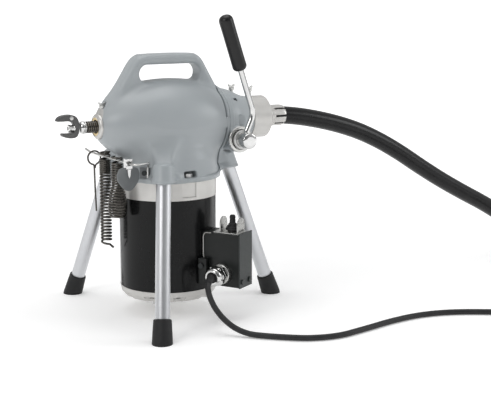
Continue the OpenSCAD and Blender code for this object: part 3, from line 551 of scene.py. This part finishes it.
def handle_field(x, y, z):
    """The carrying handle: an outline in x and z with a rounded opening and soft edges."""
    edge = curve_through([
        (-92, 276), (-87.5, 287.5), (-80, 297.5), (-73, 306.5), (-65.5, 317.5), (-56, 332.5), (-51.5, 338.5),
        (-47, 343), (-41.5, 346), (-36, 347.2), (0, 347.8), (35, 347), (40, 345.8), (45, 342.7), (49.5, 338),
        (55, 329), (62.5, 316), (69, 305), (73, 300), (77, 297)], 2)
    outline = [*map(tuple, edge), (79, 262), (-88, 262)]
    flat_x, flat_z = np.meshgrid(x[:, 0, 0], z[0, 0, :], indexing="ij")
    solid = outline_field(flat_x, flat_z, outline)
    t = np.clip((flat_x + 32) / 65, 0, 1)
    opening = (np.hypot(flat_x + 32 - 65 * t, flat_z - 321.5) - 12)[:, None, :]
    ridge, lip = 8.5, 3.5
    flat = solid[:, None, :] + ridge
    deep = np.abs(y) - (14.5 - ridge)
    bar = (np.minimum(np.maximum(flat, deep), 0)
           + np.hypot(np.maximum(flat, 0), np.maximum(deep, 0)) - ridge)
    return smooth_cut(bar, opening, 2 * lip)


SKIRT = [
    (184, 71), (189.4, 71), (190.4, 70), (191, 67.6), (198, 66.5), (212, 65), (228, 61), (242, 52), (246, 46)
]
SKIRT_FLOOR = 183.9
ARM_FLOOR = 189.6


def about_motor(x, y, angle):
    """Distances out from the motor's axis in a direction, and across that direction."""
    a = math.radians(angle)
    return x * math.cos(a) + y * math.sin(a), y * math.cos(a) - x * math.sin(a)


def leg_arm(grid, angle):
    """A leg's socket and its web to the housing, with a flat underside level with the skirt's ledge."""
    x, y, z = grid
    low, up = on_leg(angle, 190)
    boss = rod_field(grid, low, low + 34.5 * up, SOCKET_R, 4)
    out, side = about_motor(x, y, angle)
    web = box_field(out, side, z, (40, -11.5, 186), (89, 11.5, 240), 5)
    slope = (out - 90) * 0.655 + (z - 204) * 0.756 + 0 * side
    web = -smooth_union(-web, -slope, 5)
    return np.maximum(smooth_union(boss, web, 7), ARM_FLOOR - z)


def housing_hollow(grid, radius, places):
    """The room inside the main casting: gear chamber, motor throat and the spindle's stepped bores."""
    x = grid[0]
    inner = turned_solid(radius, x + 0 * radius, list(zip(places, egg_radius(places) - 5)))
    hollow = np.minimum(np.maximum(inner, x - 62), rod_field(grid, (0, 0, 180), (0, 0, 233), 50))
    walls = np.minimum(np.abs(x + 73) - 7, np.abs(x - 27) - 9) + 0 * radius
    hollow = np.maximum(np.maximum(hollow, -walls), -66 - x)
    bores = ((-104, -93, 12.1), (-94, -60, SPINDLE_BORE_R), (-76, -50, 23.6), (17, 40, 27.6), (36, 76, 35.5))
    for start, stop, r in bores:
        hollow = np.minimum(hollow, np.maximum(radius - r, np.maximum(start - x, x - stop)))
    return hollow


def main_housing():
    xs = steps_between((-101.0, 0.8), (-86.0, 1.5), (64.0, 0.55), (75.0, 1.5), (113.0, 1.5))
    ys = steps_between((-101.0, 1.5), (101.0, 1.5))
    zs = steps_between((181.0, 1.0), (200.0, 1.5), (350.5, 1.5))
    x, y, z = np.meshgrid(xs, ys, zs, indexing="ij", sparse=True)
    grid = (x, y, z)
    radius = np.hypot(y, z - AXIS_Z) + 0 * x
    from_motor = np.hypot(x, y) + 0 * z
    places = np.linspace(-105, 75, 121)
    egg = turned_solid(radius, x + 0 * radius, list(zip(places, egg_radius(places))))
    egg = np.maximum(egg, x - 68.5 + 0 * radius)
    egg = smooth_union(egg, np.maximum(radius - SEAM_R, np.maximum(68.9 - x, x - SEAM_X + 0.1)), 1.5)
    skirt = turned_solid(from_motor, z + 0 * from_motor, SKIRT)
    body = smooth_union(egg, skirt, 14)
    for angle in LEG_ANGLES:
        body = smooth_union(body, leg_arm(grid, angle), 17)
    body = smooth_union(body, handle_field(x, y, z), 8)
    body = np.maximum(body, SKIRT_FLOOR - z)
    for angle in LEG_ANGLES:
        low, up = on_leg(angle, 175)
        body = np.maximum(body, -rod_field(grid, low, low + 43 * up, LEG_BORE_R))
    body = np.maximum(body, NOSE_X - x + 0 * radius)
    body = np.maximum(body, np.minimum(SEAM_R + 0.4 - radius, x - SEAM_X + 0.1))
    body = np.maximum(body, -rod_field(grid, NOSE_SCREW, (NOSE_SCREW[0], 0, 300), 5.8))
    for angle in BOLT_ANGLES:
        out, side = about_motor(x, y, angle)
        body = smooth_cut(body, box_field(out, side, z, (53, -9, 190), (90, 9, 198.5), 2.5), 1.0)
    angle = np.degrees(np.arctan2(y, z - AXIS_Z)) + 0 * x
    spoke = np.abs((angle + 30) % 120 - 60)
    slot = np.maximum(np.maximum(39.6 - radius, np.abs(x - 68.5) - 1.1), 9 - spoke)
    body = np.maximum(body, -slot)
    body = np.maximum(body, -housing_hollow(grid, radius, places))
    verts, faces = skin(body.astype(np.float32), xs, ys, zs)
    piece("housing_casting", relaxed(verts, faces), faces, machine(), "housing_paint", "machine",
          "main_housing", smooth=50)


def rear_housing():
    xs = steps_between((72.0, 0.55), (82.5, 1.0), (121.0, 1.0))
    ys = steps_between((-47.0, 1.0), (47.0, 1.0))
    zs = steps_between((210.0, 1.0), (301.0, 1.0))
    x, y, z = np.meshgrid(xs, ys, zs, indexing="ij", sparse=True)
    grid = (x, y, z)
    radius = np.hypot(y, z - AXIS_Z) + 0 * x
    along = x + 0 * radius
    profile = [(SEAM_X + 0.1, 42.6), (SEAM_X + 0.8, SEAM_R), (79.5, SEAM_R), (80.5, 41.9), (86, 41.2),
               (92, 39.4), (98, 36.8), (105, 33.6), (111, 31.2), (115, 30), (REAR_END_X, 29.7)]
    body = turned_solid(radius, along, profile)
    body = smooth_union(body, rod_field(grid, (88, -44.9, 232), (88, 37.9, 232), 18), 5)
    body = np.maximum(body, np.maximum(SEAM_X + 0.1 - x, x - REAR_END_X) + 0 * radius)
    body = smooth_cut(body, box_field(x, y, z, (88.5, -60, 248), (103, -35, 264), 1.2), 0.8)
    body = np.maximum(body, -rod_field(grid, (99.7, 0, 284), (99.7, 0, 304), 2.6))
    chamber = [(71, 35.5), (76.5, 35.5), (78, 34.4), (86, 34.2), (98, 31), (102, 28)]
    hollow = turned_solid(radius, along, chamber)
    hollow = np.minimum(hollow, rod_field(grid, (88, -24, 232), (88, 24, 232), 14))
    hollow = np.minimum(hollow, rod_field(grid, (88, -60, 232), (88, 60, 232), 6.1))
    hollow = np.minimum(hollow, np.maximum(radius - 13.2, 100 - x))
    hollow = np.minimum(hollow, np.maximum(radius - 22.1, 112 - x))
    for a in (45, 135, 225, 315):
        sy, sz = 37.5 * math.sin(math.radians(a)), AXIS_Z - 37.5 * math.cos(math.radians(a))
        hollow = np.minimum(hollow, rod_field(grid, (77.5, sy, sz), (92, sy, sz), 3.1))
    body = np.maximum(body, -hollow)
    verts, faces = skin(body.astype(np.float32), xs, ys, zs)
    piece("clutch_casting", relaxed(verts, faces), faces, machine(), "housing_paint", "machine",
          "rear_housing", smooth=50)


# ---------------------------------------------------------------- cable, cutter and hung tools
def coil(turns, heights, radius, first_angle, steps=16):
    """Points of a winding: height follows (turn, z) knots, and radius is a number or a function of z."""
    u = np.linspace(0, turns, int(turns * steps) + 1)
    z = np.interp(u, *np.array(heights, float).T)
    r = radius(z) if callable(radius) else np.full_like(z, radius)
    a = math.radians(first_angle) + 2 * np.pi * u
    return np.stack([r * np.cos(a), r * np.sin(a), z], axis=1)


def cable():
    """The drain cable: a close-wound spring over its inner core."""
    length, pitch = 277.5, 2.75
    turns = int(length / pitch)
    wire = tube(coil(turns, [(0, 1.3), (turns, length - 1.3)], 6.6, 0, 14), 1.35, 7)
    core = lathe([(0, 0.2), (5.7, 0.2), (5.7, length), (0, length)], 24)
    place = machine((COUPLING_X, 0, AXIS_Z), ALONG_CABLE)
    piece("drain_cable", *joined(wire, core), place, "spring_steel", "cable", "cable_section", smooth=60)


def coupling():
    """The cable's coupling: two collars on a neck, keyed by a lug."""
    profile = [(0, 0), (6.2, 0), (6.9, 0.6), (8, 2.4), (8, 4.0), (6.3, 4.5), (6.3, 5.6), (8, 6.1), (8, 7.0),
               (7.4, 7.5), (0, 7.5)]
    body = lathe(profile, 48)
    lug = moved(prism([(-8, 0), (-8, 2.6), (8, 2.6), (8, 0)], 4.4),
                Matrix.Translation((0, 0, 3.8)) @ turned("X", 90).to_4x4())
    piece("coupling", *joined(body, lug), machine((CUTTER_BACK_X, 0, AXIS_Z), ALONG_CABLE), "chrome", "cable",
          "cable_coupling", bevel=0.25)


def cutter():
    """The C-shaped cutter, its screw and the bright boss in its throat."""
    outer = [(-157, 9.8), (-154.8, 13.6), (-151.2, 16), (-146, 17.2), (-139.5, 17.6), (-135, 16.9),
             (-131.5, 15.2), (-129, 12.4), (-127.5, 8.6), (-126.8, 4), (-126.8, -0.5), (-127.6, -5),
             (-128.8, -8.6), (-130.8, -11), (-134, -12.1), (-138.5, -12.4), (-143.5, -11.6), (-148, -10.3),
             (-150, -8.2)]
    inner = [(-149.6, -5.9), (-145, -6.2), (-140, -6.4), (-136.5, -5.7), (-133.8, -3.8), (-132.7, -1),
             (-132.6, 2), (-133.6, 4.8), (-136, 7.6), (-139, 9), (-143, 9.6), (-149, 9.6)]
    outline = [*map(tuple, curve_through(outer, 2)), *map(tuple, curve_through(inner, 2))]
    piece("cutter_blade", *prism(outline, 10.6), machine((0, 0, AXIS_Z), TOWARDS_FRONT), "cutter_steel",
          "cable", "c_cutter", bevel=0.9)
    screw = lathe(rounded([(0, 0), (2.6, 0), (2.6, 0.5), (0, 0.7)], 0.3), 24)
    piece("cutter_screw", *screw, machine((-137.5, -5.2, AXIS_Z + 13.4), TOWARDS_FRONT), "steel", "cable")
    boss = lathe(rounded([(0, 12.6), (4.9, 12.6), (5.1, 7.6), (4.3, 6.8), (4.3, 3), (5, 2), (5, 0), (1.9, 0),
                          (1.9, 4.5), (0, 4.5)], 0.5), 40)
    piece("cutter_boss", *boss, machine((-141, 0, AXIS_Z), ALONG_CABLE), "chrome", "cable")


def straight_auger():
    """A spring auger: close-wound where the rod passes, open below, with a splayed tip."""
    knots = [(0, 6.6), (1.15, 3.3), (1.45, -3.4), (8.6, -23), (29.6, -113.2), (30.1, -117.6)]
    wire = coil(30.1, knots, 6.4, -108)
    tip = wire[-1] + np.outer((0.4, 1.0), (5.5, 1.5, -5))
    wire = tube(np.vstack([wire, tip]), 1.45, 8)
    piece("straight_auger_wire", *wire, machine((HANG_X, STRAIGHT_Y, HANG_Z)), "spring_steel",
          "hung_straight_auger", "straight_auger", smooth=60)


def bulb_auger():
    """A bulb auger: a close-wound neck that swells into a bulb."""
    def radius(z):
        return np.interp(-z, (0, 32, 38, 46, 56, 64, 72, 77), (6.3, 6.3, 7.7, 9.7, 11.3, 11.5, 10.3, 7.2))

    knots = [(0, 3.6), (0.6, 3.3), (0.9, -3.2), (9.6, -31), (22.1, -75.6)]
    wire = tube(coil(22.1, knots, radius, -270, 20), 1.45, 8)
    piece("bulb_auger_wire", *wire, machine((HANG_X, BULB_Y, HANG_Z)), "spring_steel", "hung_bulb_auger",
          "bulb_auger", smooth=60)


def spade():
    """The spade cutter: a pointed plate below its slotted coupling."""
    plate = curve_through([(-13, -7), (-8, -5.5), (8, -5.5), (13, -7.5), (15.2, -13), (14.6, -21),
                           (11.5, -27), (6, -33.5), (0, -35.5), (-6, -33), (-11.5, -27), (-15.2, -21),
                           (-16, -14)], 3)
    piece("spade_plate", *prism(plate, 2.6), machine((HANG_X, SPADE_Y, HANG_Z), TOWARDS_FRONT), "spade_steel",
          "hung_spade", "spade_cutter", bevel=0.7)
    body = [(-4.6, -7), (-4.6, -2.4), (4.6, -2.4), (4.6, -7)]
    upper = [(-4.6, 2.4), (-4.6, 6.2), (4.6, 6.2), (4.6, 2.4)]
    cheeks = [[(-4.6, -2.8), (-4.6, 2.8), (-2.3, 2.8), (-2.3, -2.8)],
              [(2.3, -2.8), (2.3, 2.8), (4.6, 2.8), (4.6, -2.8)]]
    tongue = [(-2.6, -6.8), (2.6, -6.8), (1.8, -15), (0, -19.4), (-1.8, -15)]
    lift = Matrix.Translation((0, 0, 2.6))
    block = joined(prism(body, 8), prism(upper, 8), *[prism(c, 8) for c in cheeks],
                   moved(prism(tongue, 2.6), lift))
    piece("spade_coupling", *block, machine((HANG_X, SPADE_Y, HANG_Z), TOWARDS_FRONT), "chrome", "hung_spade",
          bevel=0.5)


def pin_key():
    """The pin key: a bent wire with a finger ring whose end is lapped round the stem."""
    ring = [(9.2 * math.sin(a), 0, -6 - 9.2 * math.cos(a)) for a in np.radians(np.linspace(24, 350, 40))]
    path = [(1.4, 0.9, -20), (1.8, 1.1, -17)] + ring + [(-0.9, -1.0, -16.6), (-0.5, -0.8, -20), (0, 0, -26),
            (0.2, 0, -40), (0.6, 0, -55), (1.1, 0, -66), (1.5, 0, -79)]
    path = curve_through(path, 3)
    piece("pin_key_wire", *tube(path, 1.25, 8), machine((HANG_X, KEY_Y, HANG_Z)), "spring_steel", "hung_key",
          "pin_key", smooth=60)


def hanger_rod():
    path = filleted([(-52.7, -48.5, 192), (-52.7, -48.5, 206), (-56, -61, HANG_Z), (-75, -69, HANG_Z),
                     (HANG_X, -65, HANG_Z), (HANG_X, 68, HANG_Z), (-82, 83, 216)], 5)
    piece("tool_rod", *tube(path, 1.5, 12), machine(), "zinc_plate", "machine", "hanger_rod", smooth=60)


# ---------------------------------------------------------------- clutch lever
def clutch_lever():
    rod = tube(filleted([(0, 0, 6), (0, 0, 12), (11, 0, 35), (-31, 0, 159)], 15, 10), 4, 20)
    piece("lever_bar", *rod, machine(LEVER), "chrome", "clutch_lever", "lever_rod", smooth=60)
    hub = lathe(rounded([(6, -9), (10.4, -9), (10.7, -8, 0.8), (10.7, 10.2, 3.2), (6, 11), (0, 11)], 0.8, 6),
                64)
    piece("lever_knob", *hub, machine(LEVER, TOWARDS_FRONT), "chrome", "clutch_lever", "lever_hub", smooth=60)
    washer = lathe(rounded([(6, -13.4), (12.9, -13.4), (12.9, -10.4), (11.4, -9.2), (6, -9.2)], 0.5), 64)
    piece("lever_washer", *washer, machine(LEVER, TOWARDS_FRONT), "steel", "clutch_lever")
    face = lathe(rounded([(6.4, 0), (6.4, 0.3), (13.4, 0.3), (13.9, 1.0), (17.3, 1.0), (17.9, 0.2),
                          (17.9, -2)], 0.3), 64)
    piece("lever_boss_face", *face, machine((88, -44.9, 232), TOWARDS_FRONT), "zinc_plate", "machine")
    length = math.hypot(*GRIP_RUN)
    foot = [(3.6 + 6 * math.sin(a), 6 - 6 * math.cos(a)) for a in np.radians(np.linspace(8, 90, 10))]
    dome = [(1.6 + 8 * math.cos(a), length - 8 + 8 * math.sin(a)) for a in np.radians(np.linspace(0, 90, 12))]
    sides = [(9.45, 20), (9.45, 50)]
    grip = lathe([(0, 0), (4.1, 0), (4.4, 0.4)] + foot + sides + dome + [(0, length)], 64)
    lean = turned("Y", math.degrees(math.atan2(*GRIP_RUN)))
    piece("lever_handgrip", *grip, machine((79.2, -60, 325.5), lean), "grip_black", "clutch_lever",
          "lever_grip", smooth=60)


# ---------------------------------------------------------------- switch box
def toggle_boot():
    """The ribbed rubber boot over the toggle."""
    profile = rounded([(0, 22), (3, 22, 1.6), (3.95, 20, 1), (3.95, 17.2), (3.5, 16.7), (3.5, 15.9),
                       (3.95, 15.4), (3.95, 11.8), (4.8, 10.6), (5.9, 9.8), (5.4, 8.7), (7.3, 7.9),
                       (6.9, 6.6), (8.7, 5.6), (8.3, 4.5), (9.4, 3.6), (9.2, 2.3), (8, 2.3)], 0.45)
    piece("switch_boot", *lathe(profile, 48), machine(in_box(100, 1.5, 117.6), BOX_TURN), "rubber", "toggle",
          "toggle_boot", smooth=50)


def knurled(profile, teeth, depth, low, high, segments=144):
    """A lathed piece whose rim between two heights is cut into teeth."""
    verts, faces = lathe(profile, segments)
    out = []
    for x, y, z in verts:
        r = math.hypot(x, y)
        if low < z < high and r > 10:
            k = 1 + depth * math.cos(teeth * math.atan2(y, x)) / r
            x, y = x * k, y * k
        out.append((x, y, z))
    return out, faces


def hexagon(across, z0, z1, segments=6):
    """A hexagonal nut body with its corners chamfered at both faces."""
    corner = across / 2 / math.cos(math.pi / 6)
    flat = [(corner * math.cos(math.pi * k / 3), corner * math.sin(math.pi * k / 3)) for k in range(segments)]
    verts, faces = prism(flat, z1 - z0)
    return [(x, y, z + (z0 + z1) / 2) for x, y, z in verts], faces


GLAND_X, GLAND_Z = 93.5, 63


def on_gland(n):
    """The matrix of a piece on the gland's axis: local z runs out of the switch box."""
    return machine(in_box(GLAND_X, -n, GLAND_Z), BOX_TURN @ TOWARDS_FRONT)


def gland():
    """The cable gland: a knurled lock ring, a hexagon body and a round-nosed nut."""
    rim = rounded([(8, 0), (13, 0), (13.3, 1), (13.3, 5), (12.6, 6), (8, 6)], 0.4)
    lock = knurled(rim, 36, 0.35, 0.5, 5.5)
    piece("gland_lock_ring", *lock, on_gland(15), "zinc_plate", "machine", "cable_gland")
    piece("gland_hexagon", *hexagon(22.6, 6, 12.5), on_gland(15), "chrome", "machine", bevel=0.7)
    dome = rounded([(7.4, 27.2), (9.2, 27.4, 1.5), (12.2, 25, 2), (12.4, 14), (11.6, 13), (7.4, 13)], 0.6)
    nut = lathe(dome, 64)
    piece("gland_cap_nut", *nut, on_gland(15), "chrome", "machine", "gland_nut")
    piece("gland_cap_flats", *hexagon(24, 13.5, 19.5), on_gland(15), "chrome", "machine", bevel=0.8)
    ring = lathe(rounded([(4.2, 22), (7.5, 22), (7.5, 26.4), (6.6, 26.9), (4.2, 26.2)], 0.5), 48)
    piece("gland_seal", *ring, on_gland(15), "rubber", "machine")


def strain_relief(points):
    """A tapered sleeve that follows the first of the lead's route."""
    path = [Vector(p) for p in points]
    run, sleeve = 0.0, [path[0] - (path[1] - path[0]).normalized() * 5 * MM, path[0]]
    for a, b in zip(path, path[1:]):
        run += (b - a).length
        sleeve.append(b)
        if run > 19 * MM:
            break
    share = np.linspace(0, 1, len(sleeve))
    verts, faces = tube(np.array([tuple(p / MM) for p in sleeve]), 6.2 - 1.9 * share**0.8, 20)
    return piece("lead_strain_relief", verts, faces, Matrix.Scale(MM, 4), "rubber", "machine",
                 "gland_grommet", smooth=60)


def box_edge_highlight():
    """The folded steel lip round the box's left side, drawn in light metal as a painted highlight for the
    light line its edge catches.
    """
    corner = filleted([in_box(73, -15.6, 62), in_box(65.2, -15.6, 84), in_box(65.2, -15.6, 112),
                       in_box(68, -15.6, 115.6), in_box(77, -15.6, 116.2)], 4)
    # the light metal finish on this lip is a painted highlight along the box's edge
    piece("box_lip_highlight", *tube(corner, 0.75, 8), machine(), "cast_aluminium", "machine", smooth=60)


def plug():
    """The moulded plug: a ribbed neck, a waisted body, two blades and an earth pin."""
    place = machine((524, -214, 17), turned("X", -90))
    neck = [(0, 0), (4.6, 0), (5, 0.8)]
    for k in range(5):
        z, r = 3 + 4 * k, 5.2 + 0.32 * k
        neck += [(r, z), (r, z + 1.8), (r - 0.9, z + 2.2), (r - 0.9, z + 3.6)]
    body = neck + [(6.8, 23), (12.8, 27.5, 2), (15.6, 33, 3), (14.6, 40, 4), (16.3, 49, 2), (15.4, 54, 1),
                   (0, 54)]
    plain = [p if len(p) > 2 else (*p, 0.3) for p in body]
    shell = piece("plug_body", *lathe(rounded(plain, 0.3), 48), place, "rubber", "machine", "power_plug")
    blades = [moved(prism([(-3.2, 0), (3.2, 0), (3.2, 15), (1.8, 18), (-1.8, 18), (-3.2, 15)], 1.5),
                    Matrix.Translation((x, 0, 54)) @ (turned("Z", 90) @ turned("X", 90)).to_4x4())
              for x in (-6.4, 6.4)]
    pin = moved(lathe(rounded([(0, 0), (2.4, 0), (2.4, 17), (1.2, 20), (0, 20)], 0.8), 24),
                Matrix.Translation((0, 8.5, 54)))
    prongs = piece("plug_prongs", *joined(*blades, pin), place, "brass", "machine", bevel=0.2)
    return [shell, prongs]


def tie(name, centre, angle, middle, wide, high, slot):
    """A strap round the cross-section of a coil lying on the floor."""
    a = math.radians(angle)
    u = np.array((math.cos(a), math.sin(a), 0))
    across = np.array((-math.sin(a), math.cos(a), 0))
    hub = np.array((*centre, 0)) + u * middle
    corners = filleted([(0, -0.5), (-0.5, -0.5), (-0.5, 0.5), (0.5, 0.5), (0.5, -0.5), (0, -0.5)], 0.16, 5)
    loop = [hub + u * (wide + 2.2) * p + np.array((0, 0, high / 2 + 0.4 + high * q)) for p, q in corners]
    verts, faces = joined(*[tube([v + across * s for v in loop], 0.9, 8) for s in (-3.2, -1.6, 0, 1.6, 3.2)])
    return piece(name, verts, faces, machine(), slot, "machine", smooth=60)


def hose_mouth(end, way):
    """The hose's open end: a rounded lip and the dark bore behind it."""
    lip = lathe(rounded([(12.35, -1.5), (12.35, 0), (9, 0), (8.6, -1), (8.6, -30), (0, -30)], 0.5), 48)
    turn = way.to_track_quat("Z", "Y").to_matrix().to_4x4()
    place = Matrix.Translation(end) @ turn @ Matrix.Scale(MM, 4)
    return piece("hose_mouth", *lip, place, "hose_black", "machine")


# ---------------------------------------------------------------- cords
def path_object(name, points, radius, slot, body, *nodes):
    """A curve with one open spline through points of the row frame, with a round section."""
    curve = bpy.data.curves.new(name, "CURVE")
    curve.dimensions = "3D"
    curve.bevel_depth = radius
    curve.bevel_resolution = 6
    curve.use_fill_caps = True
    spline = curve.splines.new("POLY")
    spline.points.add(len(points) - 1)
    for p, q in zip(spline.points, points):
        p.co = (*q, 1)
    spline.use_smooth = True
    obj = bpy.data.objects.new(name, curve)
    bpy.context.scene.collection.objects.link(obj)
    curve.materials.append(FINISHES[slot])
    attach(obj, body)
    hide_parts(*nodes)
    return obj


HOSE_R = 12.5
HOSE_ROUTE = [
    (166, 0, 256), (184, 0, 255.2), (213, 0, 251.5), (248, 0, 244.6), (284, 0, 235.2), (320, 0, 223),
    (357, 0, 206.5), (395, 0, 186), (435, 0, 162), (477, 0, 138), (521, 0, 115), (565, 0, 93),
    (605, 0, 71), (645, 0, 51), (685, 0, 34), (720, 0, 22), (750, 0, 15), (780, 0, 12.5)
]
HOSE_COIL = (780, -150)
HOSE_OUTER, HOSE_INNER = 150, 125
HOSE_TURNS = 1.34
CORD_R = 3.75
CORD_ROUTE = [
    (13.8, -100, 63), (6.3, -105, 62), (-0.2, -111.5, 58), (-4, -119, 51.2), (-4.8, -127, 42),
    (-2.5, -136, 31), (3, -147, 20), (11.5, -160, 10.5), (23.5, -175, 5), (39, -191, 4), (57, -208, 4),
    (78, -224, 4), (102, -233, 4), (126, -235, 4), (150, -231, 4), (176, -226, 4), (204, -220, 4),
    (232, -216, 4), (260, -215, 4), (288, -219, 4), (314, -228, 4), (338, -241, 4), (362, -257, 4),
    (386, -274, 4), (410, -291, 4), (434, -304, 4), (456, -311, 4), (470, -312, 4)
]
CORD_COIL = (470, -260)
PLUG_ROUTE = [(522, -260, 19), (522.5, -245, 19), (524, -230, 18), (524, -214, 17)]


def eased(t):
    t = min(max(t, 0.0), 1.0)
    return t * t * (3 - 2 * t)


def hose():
    """The guide hose: an arch from the collet down to the floor, then a flat coil of two lanes."""
    path = [Vector(p) for p in curve_through(HOSE_ROUTE, 3)]
    turns = int(HOSE_TURNS * 72)
    for k in range(1, turns + 1):
        sweep = k / 72
        r = HOSE_OUTER - (HOSE_OUTER - HOSE_INNER) * eased((sweep - 0.55) / 0.45)
        a = math.pi / 2 - 2 * math.pi * sweep
        path.append(Vector((HOSE_COIL[0] + r * math.cos(a), HOSE_COIL[1] + r * math.sin(a), HOSE_R)))
    points = [at(*p) for p in path]
    obj = path_object("hose", points, HOSE_R * MM, "hose_black", "machine", "guide_hose", "guide_hose_coil")
    mouth = hose_mouth(points[-1], (points[-1] - points[-2]).normalized())
    strap = tie("hose_tie", HOSE_COIL, 100, 137.5, 50, 25, "rubber")


def power_cord():
    """The mains lead: out of the gland, over the floor, and wound in four lanes, layer on layer."""
    path = [Vector(p) for p in curve_through(CORD_ROUTE, 3)]
    lanes = (52.1, 44.6, 37.1, 29.7)
    winding = [(r, 3.8) for r in lanes] + [(r, 11.4) for r in lanes[::-1]] + [(lanes[0], 19.0)] * 2
    per_turn = 40
    for k in range(1, int(8.25 * per_turn) + 1):
        turn, share = divmod(k / per_turn, 1)
        (r0, z0), (r1, z1) = winding[int(turn)], winding[int(turn) + 1]
        r = r0 + (r1 - r0) * eased((share - 0.5) / 0.5)
        z = z0 + (z1 - z0) * eased((share - 0.5) / 0.5)
        a = 2 * math.pi * share - math.pi / 2
        path.append(Vector((CORD_COIL[0] + r * math.cos(a), CORD_COIL[1] + r * math.sin(a), z)))
    path += [Vector(p) for p in curve_through(PLUG_ROUTE, 3)[1:]]
    points = [at(*p) for p in path]
    lead = path_object("mains_lead", points, CORD_R * MM, "cord_rubber", "machine", "power_cord",
                       "power_cord_coil")
    strap = tie("lead_tie", CORD_COIL, 150, 41, 30, 19, "rubber")
    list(plug())
    strain_relief(points)


def stage_and_camera():
    camera = bpy.data.cameras.new("camera")
    camera.lens = 85.3
    camera.sensor_width = 36
    camera.clip_end = 200
    obj = bpy.data.objects.new("camera", camera)
    bpy.context.scene.collection.objects.link(obj)
    obj.location = (-0.7137, -1.3795, 0.4331)
    obj.rotation_euler = Vector((0.50443, 0.84447, -0.18008)).to_track_quat("-Z", "Y").to_euler()
    bpy.context.scene.camera = obj

    studio_light()
    paper_floor()


def studio_light():
    """A white tent that is dimmer on the camera's side, with soft lamps to the left, right and above."""
    world = bpy.data.worlds.new("studio")
    world.use_nodes = True
    tree = world.node_tree
    coords = tree.nodes.new("ShaderNodeTexCoord")
    facing = tree.nodes.new("ShaderNodeVectorMath")
    facing.operation = "DOT_PRODUCT"
    facing.inputs[1].default_value = (-0.5, -0.85, -0.1)
    link(tree, coords.outputs["Generated"], facing.inputs[0])
    share = spread(tree, facing.outputs["Value"], 0, 1, 0.25, 0.85)
    shade = tint(tree, share, (0.56, 0.56, 0.56), (0.13, 0.135, 0.14))
    link(tree, shade, tree.nodes["Background"].inputs["Color"])
    bpy.context.scene.world = world
    bpy.context.scene.view_settings.view_transform = "Standard"
    for name, place, size, power, colour in (
        ("key", (-1.7, -0.7, 1.3), 0.8, 9, (1, 0.99, 0.98)),
        ("fill", (1.6, -0.9, 0.9), 0.7, 6, (0.98, 0.99, 1)),
        ("top", (0.0, 0.1, 1.9), 1.4, 13, (1, 1, 1)),
    ):
        light = bpy.data.lights.new(name, "AREA")
        light.size = size
        light.energy = power
        light.color = colour
        lamp = bpy.data.objects.new(name, light)
        bpy.context.scene.collection.objects.link(lamp)
        lamp.location = place
        lamp.rotation_euler = (Vector((0, 0, 0.18)) - Vector(place)).to_track_quat("-Z", "Y").to_euler()


def paper_floor():
    """A wide floor of white paper that glows a little, and more in the distance, as a lit backdrop does."""
    mesh = bpy.data.meshes.new("floor")
    edge = 60.0
    corners = [(-edge, -edge, 0), (edge, -edge, 0), (edge, edge, 0), (-edge, edge, 0)]
    mesh.from_pydata(corners, [], [(0, 1, 2, 3)])
    floor = bpy.data.objects.new("floor", mesh)
    bpy.context.scene.collection.objects.link(floor)
    mat, tree, shader = blank("floor_paper")
    paper = tint(tree, noise(tree, 3), (0.93, 0.93, 0.93), (0.95, 0.95, 0.95))
    link(tree, paper, shader.inputs["Base Color"])
    shader.inputs["Roughness"].default_value = 0.8
    shader.inputs["Specular IOR Level"].default_value = 0.1
    shader.inputs["Emission Color"].default_value = (1, 1, 1, 1)
    coords = tree.nodes.new("ShaderNodeTexCoord")
    reach = tree.nodes.new("ShaderNodeVectorMath")
    reach.operation = "LENGTH"
    link(tree, coords.outputs["Object"], reach.inputs[0])
    link(tree, spread(tree, reach.outputs["Value"], 0.2, 0.75, 0.3, 2.2), shader.inputs["Emission Strength"])
    mesh.materials.append(mat)


stage_and_camera()
paint_frame()
hose()
power_cord()
for build in (main_housing, rear_housing, cable, coupling, cutter, straight_auger, bulb_auger, spade, pin_key,
              hanger_rod, clutch_lever, toggle_boot, gland, box_edge_highlight):
    build()
